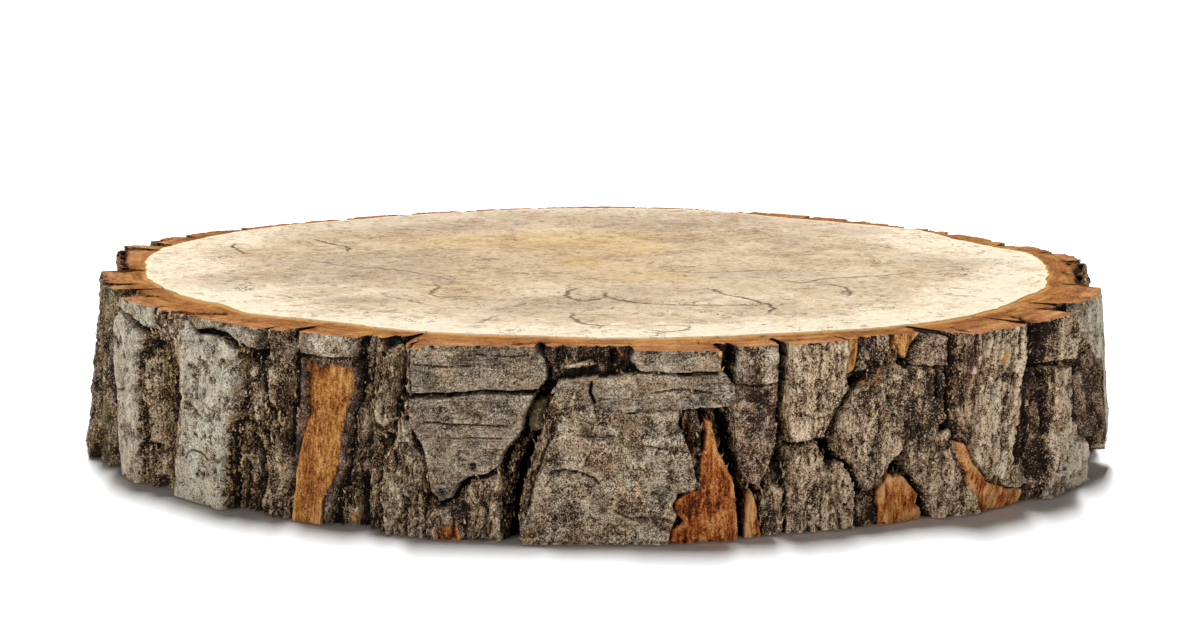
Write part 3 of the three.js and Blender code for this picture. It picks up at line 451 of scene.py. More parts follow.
# Holes and hollows: depth, radius in mm, then the middle
hollows = [
    (2.2, 2.4, 217.4, 22.5), (1.4, 1.6, 219.4, 19.6), (1.3, 1.4, 215.6, 35),
    (1.1, 1.1, 216.4, 38.6), (1.2, 1.3, 221, 36.5), (1.0, 1.2, 222, 11), (1.3, 1.2, 219, 9),
    (1.2, 1.4, 203.6, 49),
    (1.2, 1.2, 201.4, 49.5), (1.0, 1.0, 199, 15), (4, 2.0, 296.6, 22.8), (4, 2.6, 306.2, 15),
    (2.0, 1.6, 256, 20.4), (2.5, 2.2, 252.6, 12.2), (2.4, 2.2, 262.4, 28), (1.0, 1.2, 317, 14),
    (3, 2.4, 217.2, 25), (2.2, 1.3, 214.5, 29), (1.2, 1.2, 223.5, 41.5), (2.5, 2.6, 271.6, 49.4),
    (2, 2.6, 265.6, 49.6)]


# Noise over the bark is a sum of layers: weight, width and height of a cell in mm, and a
# number of its own
noiseLayers = {
    "woodEdge": [(0.5, 7, 1, 60), (0.35, 2.6, 1, 61)],
    "fibreLean": [(0.8, 14, 22, 7), (0.3, 3, 6, 8)],
    "ridge": [(1, 3.4, 26, 9)],
    "fineRidge": [(1, 1.3, 8, 10)],
    "flakeEnds": [(2.2, 3, 4, 11), (0.8, 1.1, 1.6, 16)],
    "plateEdge": [(1, 2.4, 2.4, 13)],
    "plateSlope": [(1, 5, 5, 14)],
    "swell": [(1, 9, 9, 20), (0.5, 4, 4, 21)],
    "crackBend": [(0.4, 6, 3, 22)],
    "crackRise": [(0.5, 7, 5, 23)],
    "crossCracks": [(1, 11, 1.6, 24)],
    "crackedPlaces": [(1, 12, 5, 25)],
    "crossRipple": [(0.15, 8, 0.8, 26)],
    "strand": [(0.55, 1.0, 9, 27), (0.45, 2.2, 16, 28)],
    "bareSkin": [(1, 8, 6, 32), (0.5, 2.6, 2.6, 33), (0.3, 1, 1, 34)],
    "patches": [(1, 5, 8, 35), (0.6, 2.2, 3.4, 36)],
    "rimChips": [(1, 2.6, 2.6, 40), (0.5, 1.1, 1.1, 41)],
    "sawMarks": [(1, 2.5, 1.2, 50)],
    "ringLayers": [(1, 16, 1.7, 51)],
    "ringPlaces": [(1, 9, 4, 52)],
    "ringCrackX": [(0.7, 2, 2, 53)],
    "ringCrackY": [(0.7, 2, 2, 54)]}
# Scattered cells: width, height, number
cellSizes = {"flakes": (2.8, 9, 12), "chips": (1.3, 4.5, 15), "pits": (3.4, 3.4, 31)}

noiseMask = 65535       # the random directions repeat after this many
noiseAngles = np.random.default_rng(20).uniform(0, 2 * math.pi, noiseMask + 1)
noiseCos, noiseSin = np.cos(noiseAngles), np.sin(noiseAngles)
noiseUnit = noiseAngles / (2 * math.pi)


def draw(n):
    # a repeatable random number from 0 to 1
    x = math.sin(n * 12.9898) * 43758.5453
    return x - math.floor(x)


def smoothStep(low, high, x):
    t = np.clip((x - low) / (high - low), 0, 1)
    return t * t * (3 - 2 * t)


def smoothBetween(a, b, c, d, t):
    # from b to c, on a curve that also heeds the points before and after
    return b + 0.5 * t * (c - a + t * (2 * a - 5 * b + 4 * c - d + t * (3 * (b - c) + d - a)))


def wholeTurns(toward, deg):
    # what brings an angle to within half a turn of another
    return 360 * np.round((toward - deg) / 360)


def latticeIndex(x, y, number):
    return (x * 73856093 ^ y * 19349663 ^ number * 83492791) & noiseMask


def lattice(deg, z, across, along):
    # in which cell each point lies and where in it; the cells close round the trunk
    cells = max(3, round(360 * mmPerDegree / across))
    x, y = deg * (cells / 360), z / along
    xi, yi = np.floor(x).astype(np.int64), np.floor(y).astype(np.int64)
    return cells, xi, yi, x, y


def barkNoise(deg, z, across, along, number):
    # smooth noise from about -1 to 1 with cells of so many mm
    cells, xi, yi, x, y = lattice(deg, z, across, along)
    fx, fy = x - xi, y - yi
    blendX, blendY = (f * f * f * (f * (f * 6 - 15) + 10) for f in (fx, fy))
    total = 0
    for i, wx in ((0, 1 - blendX), (1, blendX)):
        for j, wy in ((0, 1 - blendY), (1, blendY)):
            k = latticeIndex((xi + i) % cells, yi + j, number)
            total = total + wx * wy * (noiseCos[k] * (fx - i) + noiseSin[k] * (fy - j))
    return total * 1.6


def noise(name, deg, z):
    return sum(weight * barkNoise(deg, z, *size) for weight, *size in noiseLayers[name])


def roughness(deg, z, number, sizes):
    # grain at several sizes at once
    return sum(size * barkNoise(deg, z, size, size * 0.9, number + k)
               for k, size in enumerate(sizes))


def barkCells(name, deg, z):
    # distance to the nearest and next nearest of scattered points, and the nearest one's
    # own random number
    across, along, number = cellSizes[name]
    cells, xi, yi, x, y = lattice(deg, z, across, along)
    near = np.full(x.shape, 9.0)
    second = near.copy()
    own = np.zeros(x.shape)
    for i in (-1, 0, 1):
        for j in (-1, 0, 1):
            k = latticeIndex((xi + i) % cells, yi + j, number)
            dx = xi + i + noiseUnit[k] - x
            dy = yi + j + noiseUnit[(k + 7919) & noiseMask] - y
            gap = dx * dx + dy * dy
            closer = gap < near
            second = np.where(closer, near, np.minimum(second, gap))
            own = np.where(closer, noiseUnit[(k + 104) & noiseMask], own)
            near = np.where(closer, gap, near)
    return np.sqrt(near), np.sqrt(second), own


def distanceTo(x, y, path):
    best = np.full(x.shape, 1e9)
    for (x0, y0), (x1, y1) in zip(path, path[1:]):
        ex, ey = x1 - x0, y1 - y0
        t = np.clip(((x - x0) * ex + (y - y0) * ey) / (ex * ex + ey * ey), 0, 1)
        best = np.minimum(best, np.hypot(x - x0 - t * ex, y - y0 - t * ey))
    return best


def nearPath(deg, z, path):
    # distance in mm to a path of (degrees, mm up)
    return distanceTo(deg * mmPerDegree, z, [(a * mmPerDegree, h) for a, h in path])


def insideBy(deg, z, outline):
    # how many mm inside an outline a point lies, negative when outside
    within = np.zeros(deg.shape, bool)
    for (a0, z0), (a1, z1) in zip(outline, outline[1:] + outline[:1]):
        if z0 != z1:
            crosses = ((z0 > z) != (z1 > z)) & (deg < a0 + (a1 - a0) * (z - z0) / (z1 - z0))
            within ^= crosses
    away = nearPath(deg, z, outline + outline[:1])
    return np.where(within, away, -away)


def softened(field, reach):
    # the mean over a square of points, taken twice
    width = 2 * reach + 1
    for axis in (0, 1, 0, 1):
        margin = [(0, 0), (0, 0)]
        margin[axis] = (reach + 1, reach)
        total = np.cumsum(np.pad(field, margin, mode="edge"), axis).swapaxes(0, axis)
        field = ((total[width:] - total[:-width]) / width).swapaxes(0, axis)
    return field


def woodRadius(deg):
    # the edge of the wood is a little ragged
    deg = np.asarray(deg, float)
    ragged = noise("woodEdge", deg, np.zeros(deg.shape))
    return np.interp(deg, *zip(*woodEdge), period=360) + ragged


def smoothTable(table, deg):
    values = np.asarray(table, float)
    t = (np.asarray(deg, float) % 360) / (360 / len(values))
    i = np.floor(t).astype(int)
    return smoothBetween(*(values[(i + k) % len(values)] for k in (-1, 0, 1, 2)), t - i)


def furrowRadius(deg, z):
    up = np.clip(z / slab["thickness"], 0, 1)
    below, above = smoothTable(furrowBaseTable, deg), smoothTable(furrowTopTable, deg)
    return below * (1 - up) + above * up


def faceRadius(reachLeft, reachRight, left, right, deg):
    # a flat face that runs between two radii
    p = np.array([math.cos(math.radians(left)), math.sin(math.radians(left))]) * reachLeft
    q = np.array([math.cos(math.radians(right)), math.sin(math.radians(right))]) * reachRight
    normal = np.array([q[1] - p[1], p[0] - q[0]])
    normal /= np.hypot(*normal)
    rad = np.radians(deg)
    return p @ normal / (np.cos(rad) * normal[0] + np.sin(rad) * normal[1])


def furrowSway(column, z):
    # how far the furrow before a column strays at this height, and how much it opens
    turn = 2 * math.pi * z / backRule["furrowWave"]
    sway = math.sin(turn * (0.6 + draw(column)) + 2 * math.pi * draw(column + 0.5))
    widen = math.sin(1.7 * turn + 2 * math.pi * draw(column + 0.25))
    return backRule["furrowSway"] * sway, backRule["furrowWiden"] * (1 + widen)


def backPlates():
    rule = backRule
    halfGap, clear = rule["crackGap"] / 2, rule["crackClear"]
    plates = []
    for column, (left, right, reachLeft, reachRight) in enumerate(backColumns):
        seed = 100 * (column + 1)
        cracks = [rule["firstCrack"] + rule["crackRange"] * draw(seed)]
        if draw(seed + 1) > rule["secondCrackAbove"]:
            wrap = slab["thickness"] - 2 * clear
            cracks.append((cracks[0] + slab["thickness"] / 2) % wrap + clear)
        ends = [base, *sorted(cracks), top]
        tilt = [rule["crackTilt"] * (draw(seed + 80 + k) - 0.5) if end in cracks else 0
                for k, end in enumerate(ends)]

        def side(edge, outward, k):
            # one side of the column's k-th plate, from below
            low = ends[k] + outward * tilt[k] + (halfGap if k > 0 else 0)
            last = k + 2 == len(ends)
            high = ends[k + 1] + outward * tilt[k + 1] - (0 if last else halfGap)
            steps = max(1, math.floor((high - low) / rule["edgeStep"] + 0.5))
            points = []
            for i in range(steps + 1):
                z = low + (high - low) * i / steps
                sway, widen = furrowSway(column + 1 if outward > 0 else column, z)
                jitter = rule["edgeJitter"] * (2 * draw(seed + 30 * outward + 10 * k + i) - 1)
                points.append((edge + sway - outward * widen + jitter, z))
            return points

        for k in range(len(ends) - 1):
            looks = rule["looks"]
            look = looks[int(draw(seed + 95 + k) * len(looks))]
            if draw(seed + 90 + k) < rule["bastShare"]:
                look = "bast"
            outline = side(right, 1, k) + side(left, -1, k)[::-1]
            plates.append((look, reachLeft, reachRight, rule["flare"], outline))
    return plates


allPlates = barkPlates + backPlates()

relief = {
    "wander": [(8, 0.8), (2.6, 0.45), (1.2, 0.16)],     # edges: cell size, how far they stray
    "wanderStretch": 3,         # how much longer their bends are along the edge
    "foot": 0.7,                # how far up its flank a plate has its outline
    "flankUneven": 0.6,
    "tread": 0.45,              # share of each layer's step that is flat
    "layerWaver": 2,            # how much the steps waver
    "brow": 0.7,                # how far in from the edge a plate is rounded, in mm
    # the sides of plates are drawn darker: painted shade, and bark that holds no dust
    "flankShadeAndNoDust": 0.45,
    "flankWarmer": 0.6,
    "fissureWidth": 3.2,
    "furrowGrit": 0.22,
    "strandHeight": 3.2,        # ridges of fibre in the furrows
    "flakeHeight": 3.4,         # flakes between them
    "skinDepth": 0.5,           # how much deeper a plate is where its skin has come off
    "chipDepth": 1.1,           # what the saw broke from both rims
    "chipReach": 1.4,
    "overWood": 1.2,            # the least bark over the wood
    "furrowDetail": 0.3,        # the share of a plate's fine relief that furrows get
    # the mask of small cavities paints shade in them and a highlight on small ridges
    "cavityReach": 0.8,         # over how many mm the mask of small cavities looks
    # the mask of furrows paints shade with dirt in them, near black where they are deepest
    "hollowReach": 2.4,         # and the one of furrows
    "hollowDepth": 3.5,         # how deep a furrow is fully dark
    "grainSizes": (4.2, 2.3, 1.3, 0.8),
    "furrowGrainSizes": (2.4, 1.3, 0.8, 0.7),
}


def wander(deg, z, number, across, along):
    # how far an edge strays here, in mm
    return sum(far * barkNoise(deg, z, size * across, size * along, number + k)
               for k, (size, far) in enumerate(relief["wander"]))


def furrowFloor(deg, z, strayDeg, strayZ):
    # clefts, ridges of fibre and ragged flakes between the plates
    cleft = np.zeros(deg.shape)
    for depth, path in fissures:
        away = nearPath(strayDeg + wholeTurns(path[0][0], deg), strayZ, path)
        share = np.clip(1.25 - away / (0.5 * relief["fissureWidth"]), 0, 1)
        cleft = np.maximum(cleft, depth * share)
    lean = deg + noise("fibreLean", deg, z)
    ridge = 1 - 1.8 * np.abs(noise("ridge", lean, z))
    fine = 1 - 1.8 * np.abs(noise("fineRidge", lean, z))
    ragged = z + noise("flakeEnds", deg, z)
    near, second, own = barkCells("flakes", lean, ragged)
    flake = own - 0.45 - 0.7 * np.clip(1 - 6 * (second - near), 0, 1)
    near, second, own = barkCells("chips", lean, ragged)
    chip = own - 0.5 - 0.5 * np.clip(1 - 5 * (second - near), 0, 1)
    height = furrowRadius(deg, z) - cleft
    height += relief["strandHeight"] * (0.45 * ridge + 0.2 * fine - 0.25)
    height += relief["flakeHeight"] * (0.5 * flake + 0.26 * chip)
    height += relief["furrowGrit"] * roughness(deg, z, 80, relief["furrowGrainSizes"])
    return height, lean


def layPlates(deg, z, strayDeg, strayZ, furrow):
    # each plate stands on the furrows, and where two overlap the higher one shows
    height = furrow.copy()
    floor = furrowRadius(deg, z)
    plate = np.zeros(deg.shape)
    look = {key: np.full(deg.shape, float(furrowLook.get(key, 0))) for key in lookValues}
    slope = noise("plateSlope", deg, z)
    edge = noise("plateEdge", deg, z)
    for name, reachLeft, reachRight, flare, outline in allPlates:
        ends, rises = zip(*outline)
        left, right, low, high = min(ends), max(ends), min(rises), max(rises)
        middle = (left + right) / 2
        values = {**plateLook, **barkLooks[name]}
        turned = deg + values["ragged"] * (strayDeg - deg)
        turned = turned + wholeTurns(middle, turned)
        upward = z + values["ragged"] * (strayZ - z)
        # only the points near the plate
        here = np.nonzero((turned > left - 2) & (turned < right + 2)
                          & (upward > low - 5) & (upward < high + 5))
        if not here[0].size:
            continue
        inside = insideBy(turned[here], upward[here], outline)
        around = deg[here] + wholeTurns(middle, deg[here])
        face = faceRadius(reachLeft, reachRight, left, right, around)
        face = face + flare * (high - z[here]) / (high - low)
        face = face + values["under"] * (furrow[here] - floor[here])
        flank = np.maximum(values["flank"], values["lean"] * (face - floor[here]))
        flank = flank * (1 + relief["flankUneven"] * slope[here])
        rise = np.clip(inside / flank + relief["foot"], 0, 1)
        # bark breaks in layers, so the flank goes up in steps
        waver = relief["layerWaver"] * edge[here] * rise * (1 - rise)
        layers = rise * values["layers"] + waver
        step = np.floor(layers)
        risen = step + smoothStep(relief["tread"], 1, layers - step)
        rise = np.clip(risen / values["layers"], 0, 1) * (rise > 0)
        inside = inside - (1 - relief["foot"]) * flank
        brow = values["round"] * (1 + relief["flankUneven"] * edge[here])
        brow = brow * np.exp(-np.maximum(inside, 0) / relief["brow"])
        candidate = furrow[here] + (face - brow - furrow[here]) * rise
        wins = (candidate > height[here]) & (rise > 0.02)
        where = tuple(axis[wins] for axis in here)
        height[where] = candidate[wins]
        plate[where] = smoothStep(0.5, 0.92, rise[wins]) * values["cover"]
        for key in lookValues:
            look[key][where] = values[key]
        # painted shade on the sides of plates, and no dust there: darker down the flank
        look["tone"][where] -= relief["flankShadeAndNoDust"] * (1 - rise[wins])
        look["warm"][where] += relief["flankWarmer"] * (1 - rise[wins])
    return height, floor, plate, look


def fineRelief(deg, z, strayDeg, strayZ, lean, look):
    # the small relief of each kind of bark, its soft swell, and where its skin is off
    swell = noise("swell", deg, z)
    crackDeg, crackZ = deg + noise("crackBend", deg, z), z + noise("crackRise", deg, z)
    cracks = np.clip(1 - np.abs(noise("crossCracks", crackDeg, crackZ)) * 11, 0, 1)
    cross = -cracks * smoothStep(-0.1, 0.3, noise("crackedPlaces", deg, z))
    cross = 0.7 * cross + noise("crossRipple", deg, z)
    strand = noise("strand", lean, z)
    grit = roughness(deg, z, 70, relief["grainSizes"]) * 0.16
    near, _, own = barkCells("pits", strayDeg, strayZ)
    pits = -smoothStep(0.36, 0.1, near) * (own > 0.6)
    bare = noise("bareSkin", deg, z) - 0.5 * (look["peel"] - 0.5)
    bare = smoothStep(0.22, 0.3, bare) * (look["peel"] > 0)
    detail = (look["swell"] * 0.35 * swell + look["cross"] * cross
              + look["strand"] * 0.6 * strand + look["grit"] * 0.5 * grit
              + look["pits"] * 0.8 * pits - relief["skinDepth"] * bare)
    for halfWidth, depth, path in plateCracks:
        halfStray = 0.5 * (strayDeg + deg) + wholeTurns(path[0][0], deg)
        away = nearPath(halfStray, 0.5 * (strayZ + z), path)
        detail -= depth * np.clip(1.2 - away / halfWidth, 0, 1)
    for depth, radius, middle, rise in hollows:
        sideways = (strayDeg + wholeTurns(middle, deg) - middle) * mmPerDegree
        away = np.hypot(sideways, strayZ - rise) / radius
        detail -= depth * smoothStep(1, 0.25, away)
    return detail, swell, bare


def stainBark(deg, z, strayDeg, strayZ, plate, swell, bare, look):
    # stained places, larger patches, and the darker, warmer bark under the skin
    for changes, outline in barkStains:
        turned = strayDeg + wholeTurns(outline[0][0], strayDeg)
        stain = smoothStep(-0.3, 0.5, insideBy(turned, strayZ, outline))
        for key, value in changes.items():
            look[key] = look[key] + (value - look[key]) * stain
    look["tone"] += 0.9 * look["patchy"] * np.clip(1.5 * noise("patches", deg, z), -1, 1)
    underSkin = 0.13 + 0.25 * (look["tone"] > 0.75)     # it shows most on pale plates
    look["tone"] += plate * (0.1 * swell - underSkin * bare)
    look["warm"] += plate * 0.25 * bare


def trimmed(deg, z, height):
    # the saw leaves small chips along both rims, and the whole stays inside the plain solid
    shrink, thickness = slab["barkShrink"], slab["thickness"]
    rim = np.minimum(z - shrink, thickness - shrink - z)
    chip = smoothStep(0.15, 0.6, noise("rimChips", deg, z))
    height = height - relief["chipDepth"] * chip * smoothStep(relief["chipReach"], 0, rim)
    height = np.maximum(height, woodRadius(deg) + relief["overWood"])
    up = np.sin(np.radians(deg))
    height = np.minimum(height, slab["front"] / np.minimum(up, -0.5))
    return np.minimum(height, slab["back"] / np.maximum(up, 0.5))


def barkShape(deg, z, spacing):
    # the bark's radius at each point, and what the material needs to know there
    stretch = relief["wanderStretch"]
    strayDeg = deg + wander(deg, z, 1, 1, stretch) / mmPerDegree
    strayZ = z + wander(deg, z, 101, stretch, 1)
    furrow, lean = furrowFloor(deg, z, strayDeg, strayZ)
    height, floor, plate, look = layPlates(deg, z, strayDeg, strayZ, furrow)
    detail, swell, bare = fineRelief(deg, z, strayDeg, strayZ, lean, look)
    height = height + detail * np.maximum(plate, relief["furrowDetail"])
    stainBark(deg, z, strayDeg, strayZ, plate, swell, bare, look)
    height = trimmed(deg, z, height)
    # painted shade with dirt: how far a point lies below its wider surroundings, for the furrows
    broad = softened(height, round(relief["hollowReach"] / spacing))
    # painted shade and painted highlight: how far a point lies below or above its near surroundings
    near = softened(height, max(1, round(relief["cavityReach"] / spacing)))
    hollow = (np.maximum(broad, floor + 0.5) - height) / relief["hollowDepth"]
    masks = {"plate": plate, "cavity": np.clip(height - near, -0.8, 0.6),
             "hollow": np.clip(hollow, 0, 1)}
    return height, {**masks, **{key: look[key] for key in colourValues}}


# The ring is made in sectors that meet in clefts: degrees from, to, and mm between points
sectors = {
    "bark_front_left": (178.2, 231.6, 0.31),
    "bark_front": (231.6, 290.4, 0.31),
    "bark_front_right": (290.4, 349.8, 0.31),
    "bark_right": (349.8, 431.9, 0.55),
    "bark_back": (431.9, 538.2, 0.55),
}
sectorMargin = 10       # mm worked out past both ends, so that the masks agree there

# The sawn end of the bark: rows of points across it, above and below
cutRing = {"rowsAbove": 15, "rowsBelow": 5, "underWood": 0.4, "sawMarks": 0.12,
           "layerCracks": 0.5, "layerFineness": 7, "sharpAbove": 55}
# Cracks in it, seen from above: half width, depth, then points in mm
ringCracks = [
    (0.9, 2.5, [(-134.5, -39.5), (-131, -42.5)]),
    (0.9, 2.5, [(-129.5, -44), (-125.5, -46.5)]),
    (1.4, 4.0, [(-118, -74), (-112, -76), (-104, -77)]),
    (0.6, 2.0, [(-112, -83), (-106, -88)]),
    (0.8, 2.5, [(-23, -127), (-18, -125), (-14, -124.6)]),
    (0.4, 1.5, [(26, -122), (26.5, -126)]),
    (0.5, 1.5, [(48, -121), (54, -119)]),
    (1.2, 4.0, [(113.5, -81), (117, -88), (119, -97)]),
    (0.7, 2.5, [(96, -101), (98, -106)]),
    (1.0, 3.0, [(122, -69), (128, -66), (134, -58)]),
    (0.5, 2.0, [(126, -41), (129, -43)]),
    (0.8, 2.5, [(139.5, 24), (140.5, 14)]),
    (0.5, 2.0, [(136.5, 2), (137.5, -8)]),
    (0.6, 2.0, [(-139, 60), (-134, 69)]),
    (3.4, 3.5, [(-148.6, 44), (-147.4, 34), (-146.5, 22), (-143.6, 9), (-141.5, 3)]),
    (2.6, 3.0, [(145.8, 16), (143, 4), (142, -8), (140.6, -20), (143.8, -28)]),
    (0.5, 2.0, [(75, 113), (83, 107)])]


def makeMesh(name, points, faces, materialOf):
    mesh = bpy.data.meshes.new(name)
    mesh.from_pydata(points * metres, [], faces)
    mesh.polygons.foreach_set("material_index", np.asarray(materialOf, np.int32))
    mesh.polygons.foreach_set("use_smooth", np.ones(len(mesh.polygons), bool))
    mesh.update()
    piece = bpy.data.objects.new(name, mesh)
    scene.collection.objects.link(piece)
    return piece


def giveValues(mesh, name, values):
    attribute = mesh.attributes.new(name, "FLOAT", "POINT")
    attribute.data.foreach_set("value", np.asarray(values, np.float32).ravel())


def readValues(mesh, name):
    values = np.empty(len(mesh.vertices))
    mesh.attributes[name].data.foreach_get("value", values)
    return values


def pointsAt(deg, radius, z):
    turn = np.radians(deg)
    return np.stack([radius * np.cos(turn), radius * np.sin(turn), z], -1).reshape(-1, 3)


def quads(grid, flip=False):
    # the faces between the points of a grid
    a, b, c, d = grid[:-1, :-1], grid[:-1, 1:], grid[1:, 1:], grid[1:, :-1]
    corners = (a, d, c, b) if flip else (a, b, c, d)
    return np.stack(corners, -1).reshape(-1, 4)


def ringRows(degs, rim, rows, level, up):
    # the sawn end between the bark's face and the wood
    across = (np.arange(1, rows + 1) / rows)[:, None]
    inner = woodRadius(degs) - cutRing["underWood"]
    deg = np.repeat(degs[None, :], rows, 0)
    radius = rim[None, :] + (inner - rim)[None, :] * across
    marks = cutRing["sawMarks"] * (1 + noise("sawMarks", deg, radius))
    fromLayer = cutRing["layerFineness"] * np.abs(noise("ringLayers", deg, radius))
    cracked = np.clip(1 - fromLayer, 0, 1) * (noise("ringPlaces", deg, radius) > 0.1)
    sunk = marks + cutRing["layerCracks"] * cracked
    if up > 0:
        turn = np.radians(deg)
        x = radius * np.cos(turn) + noise("ringCrackX", deg, radius)
        y = radius * np.sin(turn) + noise("ringCrackY", deg, radius)
        for halfWidth, depth, path in ringCracks:
            sunk = sunk + depth * np.clip(1.3 - distanceTo(x, y, path) / halfWidth, 0, 1)
    sunk = sunk * np.clip(8 * (1 - across), 0, 1)       # level again beside the wood
    return {"deg": deg, "radius": radius, "z": level - up * sunk,
            "across": 1 - across + 0 * deg, "sunk": sunk}


def barkSector(name, start, end, spacing):
    columns = round((end - start) * mmPerDegree / spacing) + 1
    low, high = slab["barkShrink"], slab["thickness"] - slab["barkShrink"]
    rows = round((high - low) / spacing) + 1
    step = (end - start) / (columns - 1)
    margin = round(sectorMargin / spacing)
    degs = start + step * np.arange(-margin, columns + margin)
    deg, z = np.meshgrid(degs, np.linspace(low, high, rows))    # rows go up, columns round
    radius, masks = barkShape(deg, z, spacing)
    keep = slice(margin, margin + columns)
    degs, deg, z, radius = degs[keep], deg[:, keep], z[:, keep], radius[:, keep]
    masks = {key: values[:, keep] for key, values in masks.items()}

    above = ringRows(degs, radius[-1], cutRing["rowsAbove"], high, 1)
    below = ringRows(degs, radius[0], cutRing["rowsBelow"], low, -1)
    grids = [(deg, radius, z), *((g["deg"], g["radius"], g["z"]) for g in (above, below))]
    points = np.concatenate([pointsAt(*grid) for grid in grids])
    wall = np.arange(rows * columns).reshape(rows, columns)
    upper = wall.size + np.arange(above["deg"].size).reshape(-1, columns)
    lower = upper[-1, -1] + 1 + np.arange(below["deg"].size).reshape(-1, columns)
    upper, lower = np.vstack([wall[-1], upper]), np.vstack([wall[0], lower])
    parts = [quads(wall), quads(upper), quads(lower, flip=True),
             quads(np.vstack([upper[-1], lower[-1]]))]
    faces = [tuple(f) for f in np.concatenate(parts).tolist()]
    materials = [0] * len(parts[0]) + [1] * (len(faces) - len(parts[0]))
    for column, flip in ((0, False), (-1, True)):
        sides = (wall[:, column], upper[1:, column], lower[1:, column][::-1])
        loop = [int(i) for side in sides for i in side]
        faces.append(tuple(loop if flip else loop[::-1]))
        materials.append(1)
    piece = makeMesh(name, points, faces, materials)

    ends = [(above, -1, top), (below, 0, base)]
    for key, values in masks.items():
        onEnds = [0 * grid["deg"] + values[row] for grid, row, _ in ends]
        if key == "plate":      # on the sawn ends, how far out a plate stands
            onEnds = [smoothStep(0.3, 2.5, grid["radius"] - furrowRadius(grid["deg"], edge))
                      for grid, _, edge in ends]
        giveValues(piece.data, key, np.concatenate([v.ravel() for v in (values, *onEnds)]))
    for key, onWall in (("across", np.ones(wall.size)), ("sunk", np.zeros(wall.size))):
        giveValues(piece.data, key,
                   np.concatenate([onWall, above[key].ravel(), below[key].ravel()]))
    piece.data.set_sharp_from_angle(angle=math.radians(cutRing["sharpAbove"]))
    return piece


# The cut wood: a square grid bent into a disc, so that its cells stay about one size
woodDisc = {"cells": 190, "rimDepth": 60, "meanRadius": 130, "sharpAbove": 40}

# Stained places, seen from above: x, y, half width, half length and strength
heartwood = [
    (-8, 15, 52, 46, 0.5), (-12, 58, 30, 13, 1.0), (10, 43, 7, 8, 0.7), (-6, 18, 4, 8, 0.9),
    (15, -15, 15, 12, 0.5), (-40, -38, 11, 14, 0.5), (0, 76, 32, 11, 0.5), (-55, 60, 18, 10, 0.45),
    (68, 12, 12, 14, 0.4)]
greyedWood = [
    (-80, -13, 27, 11, 1.0), (-60, 18, 32, 15, 0.7), (-88, 76, 18, 9, 0.6), (42, -8, 22, 13, 0.6),
    (-50, 92, 17, 13, 0.9), (18, 92, 16, 14, 0.7), (80, 80, 9, 6, 1.0), (25, 62, 11, 8, 0.7),
    (-10, -60, 17, 8, 0.8), (-66, -57, 12, 6, 0.9), (-20, -74, 12, 7, 0.6), (59, 60, 6, 10, 0.8),
    (103, 12, 16, 15, 0.6), (14, -40, 14, 9, 0.8), (-78, -77, 9, 6, 0.6), (45, -78, 10, 8, 0.5),
    (-110, -24, 8, 13, 0.6), (70, -35, 10, 14, 0.4), (26, -93, 4, 4, 0.9),
    (-10, 118, 64, 14, 0.75), (60, 106, 36, 14, 0.7), (-80, 100, 32, 12, 0.6)]

# Dark lines drawn by fungus, seen from above: darkness, then points in mm
spaltLines = [
    (0.8, [(-113, 55), (-113, 48), (-110, 40), (-108, 33)]),
    (0.9, [(-90, 65), (-84, 55), (-78, 47), (-77, 38)]),
    (0.6, [(-90, 25), (-85, 17), (-78, 10), (-70, 5), (-60, 0), (-52, -8), (-45, -16),
           (-43, -22)]),
    (0.6, [(-48, -25), (-46, -35), (-48, -42), (-46, -50), (-35, -50)]),
    (0.9, [(-6, -33), (-9, -42), (-9, -50), (-5, -57), (1, -53), (1, -42)]),
    (1.0, [(1, -50), (6, -57), (12, -62), (25, -65), (46, -65)]),
    (1.0, [(25, -38), (32, -37), (34, -44), (40, -52), (45, -60), (48, -70), (46, -80)]),
    (0.7, [(50, -18), (58, -24), (62, -20), (70, -15), (80, -12), (92, -5)]),
    (0.5, [(20, -3), (30, -5), (50, 0)]),
    (0.7, [(62, -25), (68, -30), (71, -40), (70, -50)]),
    (0.7, [(-8, -78), (-7, -90), (-3, -98), (5, -100)]),
    (0.6, [(12, -105), (17, -110), (23, -107), (24, -101), (18, -99), (12, -102)]),
    (0.6, [(-28, -83), (-33, -95)]),
    (0.7, [(-60, -50), (-54, -56), (-50, -62)]),
]
# How they are drawn: how far out a line is looked for, where it fades, and how soft its
# ends are
spaltDrawing = {"reach": 6, "fadeTo": 4, "fadeFrom": 2, "softEnds": 0.12}


def smoothPath(points, step=1.0):
    # a denser path through the points
    p = np.asarray(points, float)
    p = np.vstack([2 * p[0] - p[1], p, 2 * p[-1] - p[-2]])
    made = []
    for a, b, c, d in zip(p, p[1:], p[2:], p[3:]):
        count = max(2, int(np.hypot(*(c - b)) / step))
        made.append(smoothBetween(a, b, c, d, (np.arange(count) / count)[:, None]))
    made.append(p[-2][None, :])
    return np.vstack(made)


